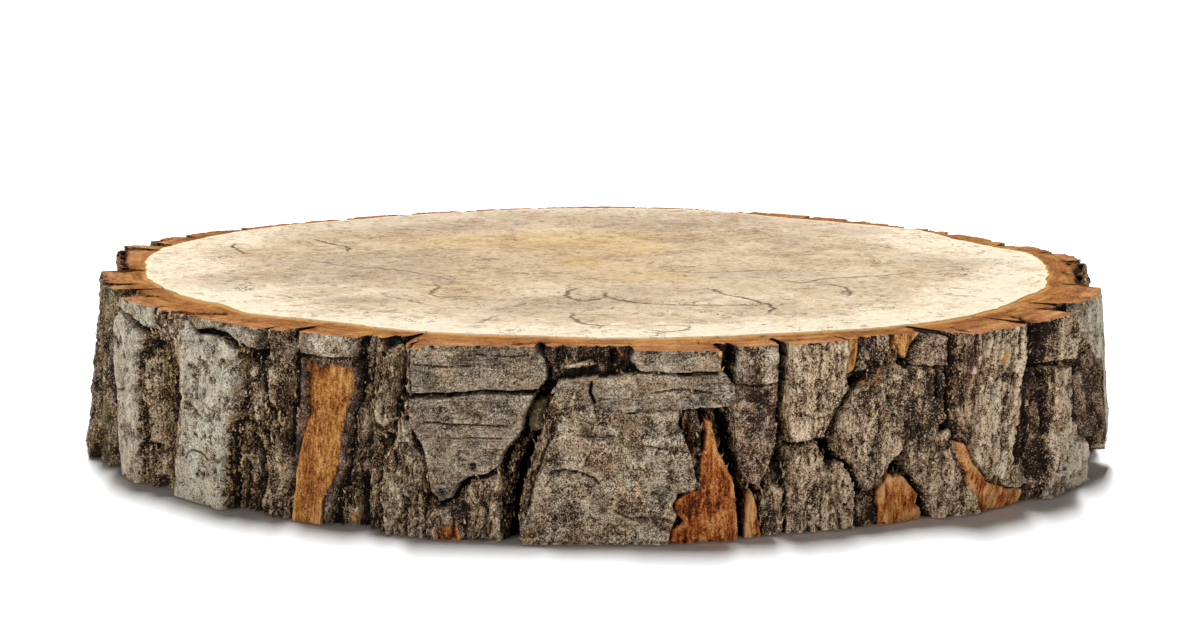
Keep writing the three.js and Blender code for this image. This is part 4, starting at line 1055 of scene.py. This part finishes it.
def spaltFields(x, y):
    # signed distance to the nearest line, and how strong that line is
    reach, soft = spaltDrawing["reach"], spaltDrawing["softEnds"]
    nearest = np.full(x.shape, 1e9)
    signed = np.full(x.shape, 9.0)
    strength = np.zeros(x.shape)
    for darkness, points in spaltLines:
        path = smoothPath(points)
        low, high = path.min(0) - reach, path.max(0) + reach
        here = np.nonzero((x > low[0]) & (x < high[0]) & (y > low[1]) & (y < high[1]))[0]
        px, py = x[here], y[here]
        for k, (p, q) in enumerate(zip(path, path[1:])):
            ex, ey = q - p
            t = np.clip(((px - p[0]) * ex + (py - p[1]) * ey) / (ex * ex + ey * ey), 0, 1)
            dx, dy = px - p[0] - t * ex, py - p[1] - t * ey
            away = np.hypot(dx, dy)
            closer = away < nearest[here]
            chosen = here[closer]
            nearest[chosen] = away[closer]
            side = np.where(ex * dy - ey * dx >= 0, 1, -1)
            signed[chosen] = (away * side)[closer]
            along = (k + 1) / len(path)
            strength[chosen] = darkness * max(min(1, along / soft, (1.03 - along) / soft), 0)
    faded = smoothStep(spaltDrawing["fadeTo"], spaltDrawing["fadeFrom"], nearest)
    return np.clip(signed, -reach, reach), strength * faded


def stained(x, y, places):
    total = np.zeros(x.shape)
    for middleX, middleY, wide, long, strength in places:
        away = ((x - middleX) / wide) ** 2 + ((y - middleY) / long) ** 2
        total = total + strength * np.exp(-away * 0.7)
    return np.clip(total, 0, 1)


def woodPiece():
    cells = woodDisc["cells"]
    line = np.linspace(-1, 1, cells + 1)
    a, b = np.meshgrid(line, line)
    wide = np.abs(a) > np.abs(b)
    with np.errstate(divide="ignore", invalid="ignore"):
        angle = np.where(wide, math.pi / 4 * b / a, math.pi / 2 - math.pi / 4 * a / b)
    reach = np.where(wide, a, b)
    angle = np.where(reach == 0, 0, angle)
    deg = np.degrees(angle) + np.where(reach < 0, 180, 0)
    reach = np.abs(reach)
    surface = pointsAt(deg, reach * woodRadius(deg), np.full(deg.shape, slab["thickness"]))
    index = np.arange((cells + 1) ** 2).reshape(cells + 1, cells + 1)
    rim = np.concatenate([index[0, :-1], index[:-1, -1], index[-1, :0:-1], index[:0:-1, 0]])
    points = np.concatenate([surface, surface[rim] * [1, 1, 0]])
    below = len(surface) + np.arange(len(rim))
    after = np.roll(np.arange(len(rim)), -1)
    side = np.stack([rim, below, below[after], rim[after]], -1)
    faces = [tuple(f) for f in np.concatenate([quads(index), side]).tolist()]
    faces.append(tuple(int(i) for i in below[::-1]))
    piece = makeMesh("wood_disc", points, faces, [0] * len(faces))

    x, y = points[:, 0], points[:, 1]
    signed, strength = spaltFields(x, y)
    strength[len(surface):] = 0
    inwards = 1 - np.concatenate([reach.ravel(), np.ones(len(rim))])
    for key, values in (("spaltSide", signed), ("spaltStrength", strength),
                        ("heart", stained(x, y, heartwood)),
                        ("greyed", stained(x, y, greyedWood)),
                        ("inwards", np.clip(inwards * woodDisc["meanRadius"],
                                            0, woodDisc["rimDepth"]))):
        giveValues(piece.data, key, values)
    piece.data.set_sharp_from_angle(angle=math.radians(woodDisc["sharpAbove"]))
    return piece


def colour(code):
    # a hex colour as a shader wants it
    parts = [int(code[i:i + 2], 16) / 255 for i in (0, 2, 4)]
    return tuple(c / 12.92 if c <= 0.04045 else ((c + 0.055) / 1.055) ** 2.4
                 for c in parts) + (1.0,)


def addNode(tree, kind, settings, inputs):
    # one node: its settings first, then what its sockets take
    made = tree.nodes.new(kind)
    for key, value in settings.items():
        if key == "stops":
            ramp = made.color_ramp
            while len(ramp.elements) < len(value):
                ramp.elements.new(0.5)
            for element, (position, code) in zip(ramp.elements, value):
                element.position, element.color = position, colour(code)
        else:
            setattr(made, key, value)
    for key, value in inputs.items():
        if isinstance(value, bpy.types.NodeSocket):
            tree.links.new(value, made.inputs[key])
        else:
            made.inputs[key].default_value = value
    return made


class Value:
    # a shader socket that takes part in plain arithmetic
    def __init__(self, shader, socket):
        self.shader, self.socket = shader, socket

    def maths(self, operation, first, second):
        return self.shader.node("ShaderNodeMath", {"operation": operation},
                                {0: first, 1: second})

    def __add__(self, other): return self.maths("ADD", self, other)
    def __radd__(self, other): return self.maths("ADD", other, self)
    def __sub__(self, other): return self.maths("SUBTRACT", self, other)
    def __rsub__(self, other): return self.maths("SUBTRACT", other, self)
    def __mul__(self, other): return self.maths("MULTIPLY", self, other)
    def __rmul__(self, other): return self.maths("MULTIPLY", other, self)

    def __abs__(self):
        return self.shader.node("ShaderNodeMath", {"operation": "ABSOLUTE"}, {0: self})

    def atMost(self, limit):
        return self.maths("MINIMUM", self, limit)

    def clamp(self):
        return self.shader.node("ShaderNodeClamp", {}, {0: self})

    def step(self, low, high):
        # 0 below low, 1 above high and smooth between; low may be the higher of the two
        if low > high:
            return 1 - self.step(high, low)
        return self.shader.node("ShaderNodeMapRange", {"interpolation_type": "SMOOTHSTEP"},
                                {0: self, 1: low, 2: high, 3: 0, 4: 1})


class Shader:
    def __init__(self, name):
        self.material = bpy.data.materials.new(name)
        self.material.use_nodes = True
        self.tree = self.material.node_tree
        self.tree.nodes.clear()
        self.place = self.node("ShaderNodeTexCoord", {}, {}, "Object")

    def node(self, kind, settings, inputs, output=0):
        # a hex colour may stand for a socket's colour
        given = {key: value.socket if isinstance(value, Value)
                 else colour(value) if isinstance(value, str) else value
                 for key, value in inputs.items()}
        return Value(self, addNode(self.tree, kind, settings, given).outputs[output])

    def vector(self, operation, first, second):
        return self.node("ShaderNodeVectorMath", {"operation": operation},
                         {0: first, 1: second})

    def attributes(self, *names):
        return [self.node("ShaderNodeAttribute", {"attribute_name": name}, {}, "Fac")
                for name in names]

    def axis(self, name):
        return self.node("ShaderNodeSeparateXYZ", {}, {0: self.place}, name)

    def cells(self, x, y, z, shift):
        # Object coordinates in cells of so many mm, shifted to a place of their own
        scaled = self.vector("MULTIPLY", self.place, (1000 / x, 1000 / y, 1000 / z))
        return self.vector("ADD", scaled, (shift, 0.7 * shift, 1.3 * shift))

    def noise(self, x, y=None, z=None, detail=3, rough=0.6, shift=0, warp=0):
        # from about -0.25 to 0.25
        made = self.node("ShaderNodeTexNoise", {}, {
            "Vector": self.cells(x, y or x, z or x, shift), "Scale": 1, "Detail": detail,
            "Roughness": rough, "Distortion": warp})
        return made - 0.5

    def grains(self, size, shift=0):
        # ragged grains, and a number from 0 to 1 for each: a noise makes their edges stray
        where = self.cells(size, size, size, shift)
        stray = self.node("ShaderNodeTexNoise", {},
                          {"Vector": where, "Scale": 1.3, "Detail": 2}, "Color")
        stray = self.node("ShaderNodeVectorMath", {"operation": "SCALE"},
                          {0: stray, "Scale": 1.2})
        where = {"Vector": self.vector("ADD", where, stray), "Scale": 1}
        near = self.node("ShaderNodeTexVoronoi", {}, where)
        number = self.node("ShaderNodeTexVoronoi", {}, where, "Color")
        return near.step(0.5, 0.25), self.node("ShaderNodeSeparateColor", {}, {0: number})

    def mix(self, factor, first, second):
        return self.node("ShaderNodeMix", {"data_type": "RGBA", "blend_type": "MIX"},
                         {0: factor, 6: first, 7: second}, 2)

    def ramp(self, factor, stops):
        return self.node("ShaderNodeValToRGB", {"stops": stops}, {0: factor})

    def finish(self, base, look, height):
        # look: roughness, how much light it mirrors, and how strong its bumps are
        normal = self.node("ShaderNodeBump", {}, {
            "Height": height, "Strength": look["bump"], "Distance": metres})
        surface = self.node("ShaderNodeBsdfPrincipled", {}, {
            "Base Color": base, "Roughness": look["roughness"], "Normal": normal,
            "Specular IOR Level": look["specular"]})
        addNode(self.tree, "ShaderNodeOutputMaterial", {}, {"Surface": surface.socket})
        return self.material


barkFinish = {
    "roughness": 0.92, "specular": 0.2, "bump": 1.0,
    "grey": [(0.0, "20170f"), (0.25, "51463a"), (0.5, "8a7d6a"), (0.75, "bdb29c"),
             (1.0, "e4dcc8")],
    "brown": [(0.0, "241408"), (0.25, "583e28"), (0.5, "957354"), (0.75, "c8a883"),
              (1.0, "edd6b5")],
    "purple": [(0.0, "1e1210"), (0.3, "4f3831"), (0.6, "82665a"), (1.0, "bd9f90")],
    "dust": [(0.3, "b39d78"), (0.7, "efe0c2")],
    "pits": "1a110b",
    "moss": "655d34",
    "furrow": [(0.1, "140b05"), (0.33, "3a2616"), (0.5, "6a4e33"), (0.68, "a2845c"),
               (0.95, "e2cb9e")],
    "sawdust": "c4a677",
    # near black in the deepest furrows: painted shade with dirt
    "furrowShadeAndDirt": "100906",
    "orangeBast": [(0.0, "2c140a"), (0.25, "723c18"), (0.45, "a06127"), (0.65, "c1803c"),
                   (1.0, "e6b573")],
    "redBast": [(0.0, "220d05"), (0.25, "64290b"), (0.45, "944510"), (0.65, "b9692c"),
                (1.0, "dfa56c")],
    # dark in hollows of the bared bark: painted shade with dirt
    "bastShadeAndDirt": "1c0d07"}


def barkMaterial():
    s, look = Shader("bark"), barkFinish
    plate, cavity, hollow, tone, warm, rose = s.attributes(
        "plate", "cavity", "hollow", "tone", "warm", "rose")
    speck, cross, contrast, moss, bast, strand = s.attributes(
        "speck", "cross", "contrast", "moss", "bast", "strand")
    broad = s.noise(12, detail=2)
    blotch = s.noise(3.2, detail=4, rough=0.65, shift=3)
    speckle = s.noise(0.8, detail=4, rough=0.8, shift=7)
    sand = s.noise(0.4, detail=2, rough=0.8, shift=13)
    hair = s.noise(6, 6, 0.5, detail=4, rough=0.65, shift=11)      # lines across the trunk
    lie = s.noise(0.7, 0.7, 7, detail=4, rough=0.65, shift=15)     # and along it
    streak = s.noise(1.7, 1.7, 16, detail=3, rough=0.6, shift=37)
    dust, dustNumber = s.grains(0.5)
    pit, pitNumber = s.grains(0.55, shift=31)

    # plates: grey to brown, with fine speckle, hairlines, tan dust and dark pits
    zone = (0.6 + 3.2 * s.noise(4.5, detail=2, shift=45)).clamp()   # some are smoother
    contrast = contrast * (0.5 + 0.85 * zone)
    # the mask of small cavities adds painted shade in them and a little painted highlight on small
    # ridges
    shade = (tone + 0.4 * broad + contrast * (0.65 * blotch + 1.45 * speckle + 1.3 * sand)
             + cross * 0.9 * hair + strand * (1.0 * lie + 1.1 * streak)
             + 0.6 * cavity.atMost(0.12))
    patch = s.noise(6, detail=2, shift=41)
    face = s.mix((warm + 1.6 * patch + 1.4 * broad).clamp(),
                 s.ramp(shade, look["grey"]), s.ramp(shade, look["brown"]))
    flush = s.noise(5, detail=2, shift=43)
    face = s.mix((rose + 0.04 + 1.8 * flush * (rose + 0.35)).clamp(),
                 face, s.ramp(shade, look["purple"]))
    dusty = dust * (dustNumber + 0.5 * speck + 2.0 * blotch + 0.8 * broad).step(0.78, 0.9)
    face = s.mix(dusty * 0.75, face, s.ramp(sand + 0.5, look["dust"]))
    pitted = pit * (pitNumber + 0.3 * speck + 1.2 * speckle).step(0.78, 0.9)
    face = s.mix(pitted * 0.75, face, look["pits"])
    mossy = (moss + 2.2 * blotch + 1.2 * broad).step(0.3, 0.8)
    face = s.mix(mossy * 0.5, face, look["moss"])

    # furrows: dark brown, with tan fibre on the ridges, painted shade in small cavities, and
    # painted shade with dirt, near black, where they are deepest
    ridges = (0.22 + 0.4 * tone.atMost(0.4) + 1.3 * cavity.atMost(0.1) + 1.8 * lie
              + 2.2 * speckle + 1.8 * sand + 0.9 * blotch + 0.6 * broad)
    sawdust = dust * (dustNumber + 1.8 * blotch).step(0.72, 0.82)
    fibres = s.mix(sawdust * 0.6, s.ramp(ridges, look["furrow"]), look["sawdust"])
    base = s.mix((plate + 1.4 * blotch + 1.2 * speckle).step(0.3, 0.7), fibres, face)
    # painted shade with dirt: the deeper the furrow, the nearer to black
    deep = (hollow + 0.6 * blotch + 0.9 * speckle).step(0.2, 0.85)
    base = s.mix(deep * 0.88, base, look["furrowShadeAndDirt"])

    # bared inner bark: orange-brown fibre with dark pits between the fibres, painted shade in small
    # cavities, and painted shade with dirt in its hollows
    fibre = s.noise(0.6, 0.6, 4, detail=4, rough=0.7, shift=17)
    strip = s.noise(2.4, 2.4, 11, detail=2, shift=19)
    shade = (0.03 + tone + 1.5 * fibre + 0.9 * strip + 1.6 * speckle + 1.3 * sand
             + 0.5 * blotch + 0.5 * cavity)
    bared = s.mix(rose.clamp(), s.ramp(shade, look["orangeBast"]),
                  s.ramp(shade, look["redBast"]))
    # painted shade with dirt in the hollows of bared bark
    bared = s.mix((hollow - 0.1).clamp() * 0.85, bared, look["bastShadeAndDirt"])
    base = s.mix((bast + 1.6 * speckle + 1.6 * blotch).step(0.38, 0.62), base, bared)
    height = 0.9 * speckle + 0.6 * sand + 0.4 * lie + 0.15 * dusty - 0.3 * pitted
    return s.finish(base, look, height)


cutBarkFinish = {
    "roughness": 0.9, "specular": 0.2, "bump": 0.8,
    "inner": [(0.1, "5a3213"), (0.35, "834e20"), (0.55, "9c652f"), (0.8, "bb884a")],
    "outer": [(0.1, "5f371c"), (0.4, "976038"), (0.65, "b67f4e"), (0.95, "d3a676")],
    "nextToWood": "cf9749",
    # near black in the cracks of the sawn end: painted shade
    "cracks": "1d110a"}


def cutBarkMaterial():
    s, look = Shader("cut_bark"), cutBarkFinish
    across, plate, sunk = s.attributes("across", "plate", "sunk")
    broad = s.noise(13, detail=2)
    blotch = s.noise(3, detail=3, shift=5)
    fine = s.noise(0.7, detail=4, rough=0.7, shift=9)
    # lines along the ring, in cells that are long round the trunk and short across it
    place = s.node("ShaderNodeCombineXYZ", {},
                   {0: s.axis("X") * 60, 1: s.axis("Y") * 60, 2: across * 9})
    line = s.node("ShaderNodeTexNoise", {},
                  {"Vector": place, "Scale": 1, "Detail": 4, "Roughness": 0.6}) - 0.5
    shade = 0.5 + 0.8 * broad + 1.0 * fine + 1.1 * line + 0.6 * blotch
    base = s.mix((plate + 1.4 * blotch).step(0.35, 0.8) * 0.8,
                 s.ramp(shade, look["inner"]), s.ramp(shade, look["outer"]))
    atWood = (across + 0.35 * fine + 0.2 * blotch).step(0.16, 0.03)
    base = s.mix(atWood * 0.7, base, look["nextToWood"])
    # painted shade in the cracks and layer splits of the sawn end, darker the deeper they sink
    base = s.mix((sunk + 1.2 * fine).step(0.35, 1.1), base, look["cracks"])
    return s.finish(base, look, 0.7 * fine + 0.6 * line)


woodFinish = {
    "roughness": 0.8, "specular": 0.25, "bump": 0.3,
    "sapwood": [(0.05, "86694c"), (0.3, "ae987a"), (0.55, "c5b094"), (0.8, "dbccb3")],
    "ochre": [(0.15, "92744a"), (0.4, "b2935f"), (0.75, "c7ab77")],
    "greyed": [(0.15, "6b543f"), (0.4, "957d65"), (0.75, "ae9a82")],
    "spalt": "463020",
    "specks": "59402c",
    "dashes": "7d6650",
    "rim": "e6d6ae"}


def woodMaterial():
    s, look = Shader("cut_wood"), woodFinish
    heart, greyed, inwards = s.attributes("heart", "greyed", "inwards")
    side, strength = s.attributes("spaltSide", "spaltStrength")
    broad = s.noise(70, detail=3, shift=2)
    cloud = s.noise(16, detail=4, shift=4)
    blotch = s.noise(6, detail=4, rough=0.65, shift=6)
    fleck = s.noise(2.2, detail=4, rough=0.7, shift=8)
    fine = s.noise(0.7, detail=3, rough=0.7, shift=10)
    behind = s.axis("Y")        # darker towards the back
    shade = (0.42 + 0.32 * inwards.step(38, 6) - 0.8 * behind + 0.6 * broad + 0.9 * cloud
             + 0.8 * blotch + 1.1 * fleck + 0.6 * fine)
    ochre = (heart + 0.7 * cloud + 0.5 * blotch).step(0.2, 1.0)
    base = s.mix(ochre * 0.7, s.ramp(shade, look["sapwood"]), s.ramp(shade, look["ochre"]))
    decay = greyed + 1.8 * cloud + 1.6 * blotch + 0.7 * fleck
    base = s.mix(decay.step(0.42, 0.55) * 0.55, base, s.ramp(shade, look["greyed"]))

    # the fungus draws dark lines round what it has taken, and leaves flecks
    wobble = s.noise(4, detail=4, rough=0.65, shift=21)
    line = abs(side + 5 * wobble).step(0.95, 0.25) * strength
    front = s.noise(22, detail=5, rough=0.6, shift=23, warp=0.6)
    frontPlaces = s.noise(14, detail=2, shift=25).step(-0.02, 0.06)
    contour = abs(front + 0.02).step(0.009, 0.001) * frontPlaces
    second = s.noise(9, detail=4, rough=0.6, shift=27, warp=0.8)
    secondPlaces = s.noise(8, detail=2, shift=29).step(0.03, 0.1)
    contour = contour + abs(second).step(0.012, 0.002) * secondPlaces * 0.8
    brinkPlaces = s.noise(12, detail=2, shift=61).step(0.0, 0.08)
    brink = abs(decay - 0.43).step(0.05, 0.01) * brinkPlaces
    drawn = ((line * 1.3 + contour + brink * 0.8) * (0.9 + 2.5 * fleck)).clamp()
    base = s.mix(drawn * 0.9, base, look["spalt"])
    specks = s.noise(2.6, 3.2, 3, detail=3, rough=0.7, shift=33).step(0.1, 0.16)
    specks = specks * (cloud + 0.4 * greyed).step(-0.12, 0.12)
    base = s.mix(specks * 0.6, base, look["specks"])
    dash = s.noise(5, detail=4, rough=0.6, shift=57).step(0.1, 0.13)
    dash = dash * (s.noise(26, detail=2, shift=59) + 0.25 * greyed).step(-0.1, 0.02)
    base = s.mix(dash * 0.5, base, look["dashes"])
    base = s.mix(inwards.step(3.5, 0.5) * 0.35, base, look["rim"])
    return s.finish(base, look, 0.5 * fine + 0.3 * fleck)


crumbFinish = {
    "roughness": 0.9, "specular": 0.2, "bump": 0.5,
    "crumbs": [(0.15, "4a3420"), (0.4, "87694a"), (0.6, "b0946c"), (0.9, "dcc9a2")]}


def crumbMaterial():
    s, look = Shader("crumbs"), crumbFinish
    shade = 0.5 + 1.8 * s.noise(1.4, detail=1, shift=51) + 0.8 * s.noise(0.4, detail=2, shift=53)
    return s.finish(s.ramp(shade, look["crumbs"]), look, s.noise(0.3, detail=2, shift=55))


# Loose bits: their size before scaling is in mm, and they tilt up to so many radians
scatter = {
    "bark_crumbs": {"shape": "crumb", "perSquareMm": 0.37, "size": (0.22, 0.2, 0.18),
                    "smallest": 0.5, "largest": 1.7, "tilt": 3.1, "seed": 4},
    "bark_splinters": {"shape": "splinter", "perSquareMm": 0.16, "size": (0.3, 0.2, 1.5),
                       "smallest": 0.5, "largest": 1.4, "tilt": 0.5, "seed": 9}}
# Where they lie: between these heights in mm, in shallow furrows, and a few on tan grain
looseBits = {"from": 3, "to": 47, "onSpecks": 0.06}


def scatterTree(shape, material):
    # geometry nodes that scatter one small shape over a surface
    tree = bpy.data.node_groups.new("scatter_" + shape, "GeometryNodeTree")
    identifiers = {}
    for name, kind in (("Surface", "Geometry"), ("Per Square Metre", "Float"),
                       ("Size", "Vector"), ("Smallest", "Float"), ("Largest", "Float"),
                       ("Tilt", "Float"), ("Seed", "Int")):
        socket = tree.interface.new_socket(name=name, in_out="INPUT",
                                           socket_type="NodeSocket" + kind)
        identifiers[name] = socket.identifier
    tree.interface.new_socket(name="Pieces", in_out="OUTPUT",
                              socket_type="NodeSocketGeometry")

    def node(kind, settings, inputs, output=0):
        return addNode(tree, kind, settings, inputs).outputs[output]

    given = tree.nodes.new("NodeGroupInput").outputs
    loose = node("GeometryNodeInputNamedAttribute", {"data_type": "FLOAT"},
                 {"Name": "loose"}, "Attribute")
    density = node("ShaderNodeMath", {"operation": "MULTIPLY"},
                   {0: given["Per Square Metre"], 1: loose})
    points = node("GeometryNodeDistributePointsOnFaces", {"distribute_method": "RANDOM"},
                  {"Mesh": given["Surface"], "Density": density, "Seed": given["Seed"]},
                  "Points")
    if shape == "crumb":
        single = node("GeometryNodeMeshIcoSphere", {}, {"Radius": 1, "Subdivisions": 1},
                      "Mesh")
    else:
        single = node("GeometryNodeMeshCone", {}, {
            "Vertices": 5, "Radius Top": 0.3, "Radius Bottom": 1, "Depth": 1}, "Mesh")
    back = node("ShaderNodeMath", {"operation": "MULTIPLY"}, {0: given["Tilt"], 1: -1})
    low = node("ShaderNodeCombineXYZ", {}, {axis: back for axis in "XYZ"})
    high = node("ShaderNodeCombineXYZ", {}, {axis: given["Tilt"] for axis in "XYZ"})
    turn = node("FunctionNodeRandomValue", {"data_type": "FLOAT_VECTOR"}, {0: low, 1: high})
    size = node("FunctionNodeRandomValue", {"data_type": "FLOAT"},
                {2: given["Smallest"], 3: given["Largest"], "Seed": 1}, 1)
    scale = node("ShaderNodeVectorMath", {"operation": "SCALE"},
                 {0: given["Size"], "Scale": size})
    placed = node("GeometryNodeInstanceOnPoints", {}, {
        "Points": points, "Instance": single, "Rotation": turn, "Scale": scale},
        "Instances")
    real = node("GeometryNodeRealizeInstances", {}, {"Geometry": placed}, "Geometry")
    finished = node("GeometryNodeSetMaterial", {}, {"Geometry": real, "Material": material},
                    "Geometry")
    addNode(tree, "NodeGroupOutput", {}, {"Pieces": finished})
    return tree, identifiers


def scatterOn(name, surface, values, material):
    # loose bits on the bark, baked to a mesh of their own
    tree, identifiers = scatterTree(values["shape"], material)
    piece = bpy.data.objects.new(name, surface)
    scene.collection.objects.link(piece)
    modifier = piece.modifiers.new("scatter", "NODES")
    modifier.node_group = tree
    inputs = {"Per Square Metre": values["perSquareMm"] * 1e6,
              "Size": [side * metres for side in values["size"]],
              "Smallest": values["smallest"], "Largest": values["largest"],
              "Tilt": values["tilt"], "Seed": values["seed"]}
    for socket, value in inputs.items():
        modifier[identifiers[socket]] = value
    made = piece.evaluated_get(bpy.context.evaluated_depsgraph_get())
    baked = bpy.data.meshes.new_from_object(made)
    piece.modifiers.clear()
    piece.data = baked
    return piece


def looseSurface(pieces):
    # the face of the bark as one mesh that knows where bits lie
    parts, faces, loose, count = [], [], [], 0
    for piece in pieces:
        mesh = piece.data
        points = np.empty(len(mesh.vertices) * 3)
        mesh.vertices.foreach_get("co", points)
        plate, hollow, speck = (readValues(mesh, key) for key in ("plate", "hollow", "speck"))
        corners = np.array([tuple(f.vertices) for f in mesh.polygons
                            if len(f.vertices) == 4 and f.material_index == 0])
        parts.append(points.reshape(-1, 3))
        faces.append(corners + count)
        z = points[2::3] / metres
        lying = np.clip((1 - plate) * (1 - hollow) + looseBits["onSpecks"] * speck, 0, 1)
        loose.append(lying * (z > looseBits["from"]) * (z < looseBits["to"]))
        count += len(mesh.vertices)
    mesh = bpy.data.meshes.new("loose_surface")
    mesh.from_pydata(np.concatenate(parts), [],
                     [tuple(f) for f in np.concatenate(faces).tolist()])
    giveValues(mesh, "loose", np.concatenate(loose))
    mesh.update()
    return mesh


def dress(piece, materials):
    for material in materials:
        piece.data.materials.append(material)
    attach(piece, "root")
    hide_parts("wood_slice")


bark, cutBark, wood = barkMaterial(), cutBarkMaterial(), woodMaterial()
barkPieces = []
for name, (start, end, spacing) in sectors.items():
    piece = barkSector(name, start, end, spacing)
    dress(piece, [bark, cutBark])
    barkPieces.append(piece)
    print(name, len(piece.data.vertices), "points")
crumbs = crumbMaterial()
surface = looseSurface(barkPieces)
for name, values in scatter.items():
    piece = scatterOn(name, surface, values, crumbs)
    dress(piece, [])        # its material comes from the tree
    print(name, len(piece.data.polygons), "faces")
bpy.data.meshes.remove(surface)
disc = woodPiece()
dress(disc, [wood])
print("wood", len(disc.data.vertices), "points")

# Floor, light and camera
studio = {"floorRadius": 6.0, "floorSides": 96, "mottle": 400, "sky": 0.05}
floorFinish = {"colour": "ffffff", "roughness": 0.9, "specular": 0.2, "bump": 0.02}
softBoxes = {           # watts, place, width and depth; each points at the slice
    "overhead": (278, (0, 1.4, 3.9), 0.4, 2.4),
    "front": (37, (-1.3, -2.2, 0.14), 0.7, 0.26),
    "side": (18, (2.1, -1.5, 0.14), 0.7, 0.26)}
view = {"lens": 116.76, "sensor": 36, "place": (0, -1.1361, 0.2245), "pitch": 80.726}

bpy.ops.mesh.primitive_circle_add(vertices=studio["floorSides"],
                                  radius=studio["floorRadius"], fill_type="NGON")
floor = bpy.context.object
floor.name = "floor"
floorShader = Shader("floor")
mottle = floorShader.noise(studio["mottle"], detail=2)
floor.data.materials.append(floorShader.finish(floorFinish["colour"], floorFinish, mottle))

world = bpy.data.worlds.new("studio")
world.use_nodes = True
sky = world.node_tree.nodes["Background"]
sky.inputs["Color"].default_value = (1, 1, 1, 1)
sky.inputs["Strength"].default_value = studio["sky"]
scene.world = world

for name, (power, place, width, depth) in softBoxes.items():
    light = bpy.data.lights.new(name, "AREA")
    light.energy, light.shape, light.size, light.size_y = power, "RECTANGLE", width, depth
    lamp = bpy.data.objects.new(name, light)
    lamp.location = place
    lamp.rotation_euler = (-Vector(place)).to_track_quat("-Z", "Y").to_euler()
    scene.collection.objects.link(lamp)

camera = bpy.data.cameras.new("camera")
camera.lens, camera.sensor_width = view["lens"], view["sensor"]
eye = bpy.data.objects.new("camera", camera)
eye.location = view["place"]
eye.rotation_euler = (math.radians(view["pitch"]), 0, 0)
scene.collection.objects.link(eye)
scene.camera = eye
scene.view_settings.view_transform = "Standard"
print("studio ready")
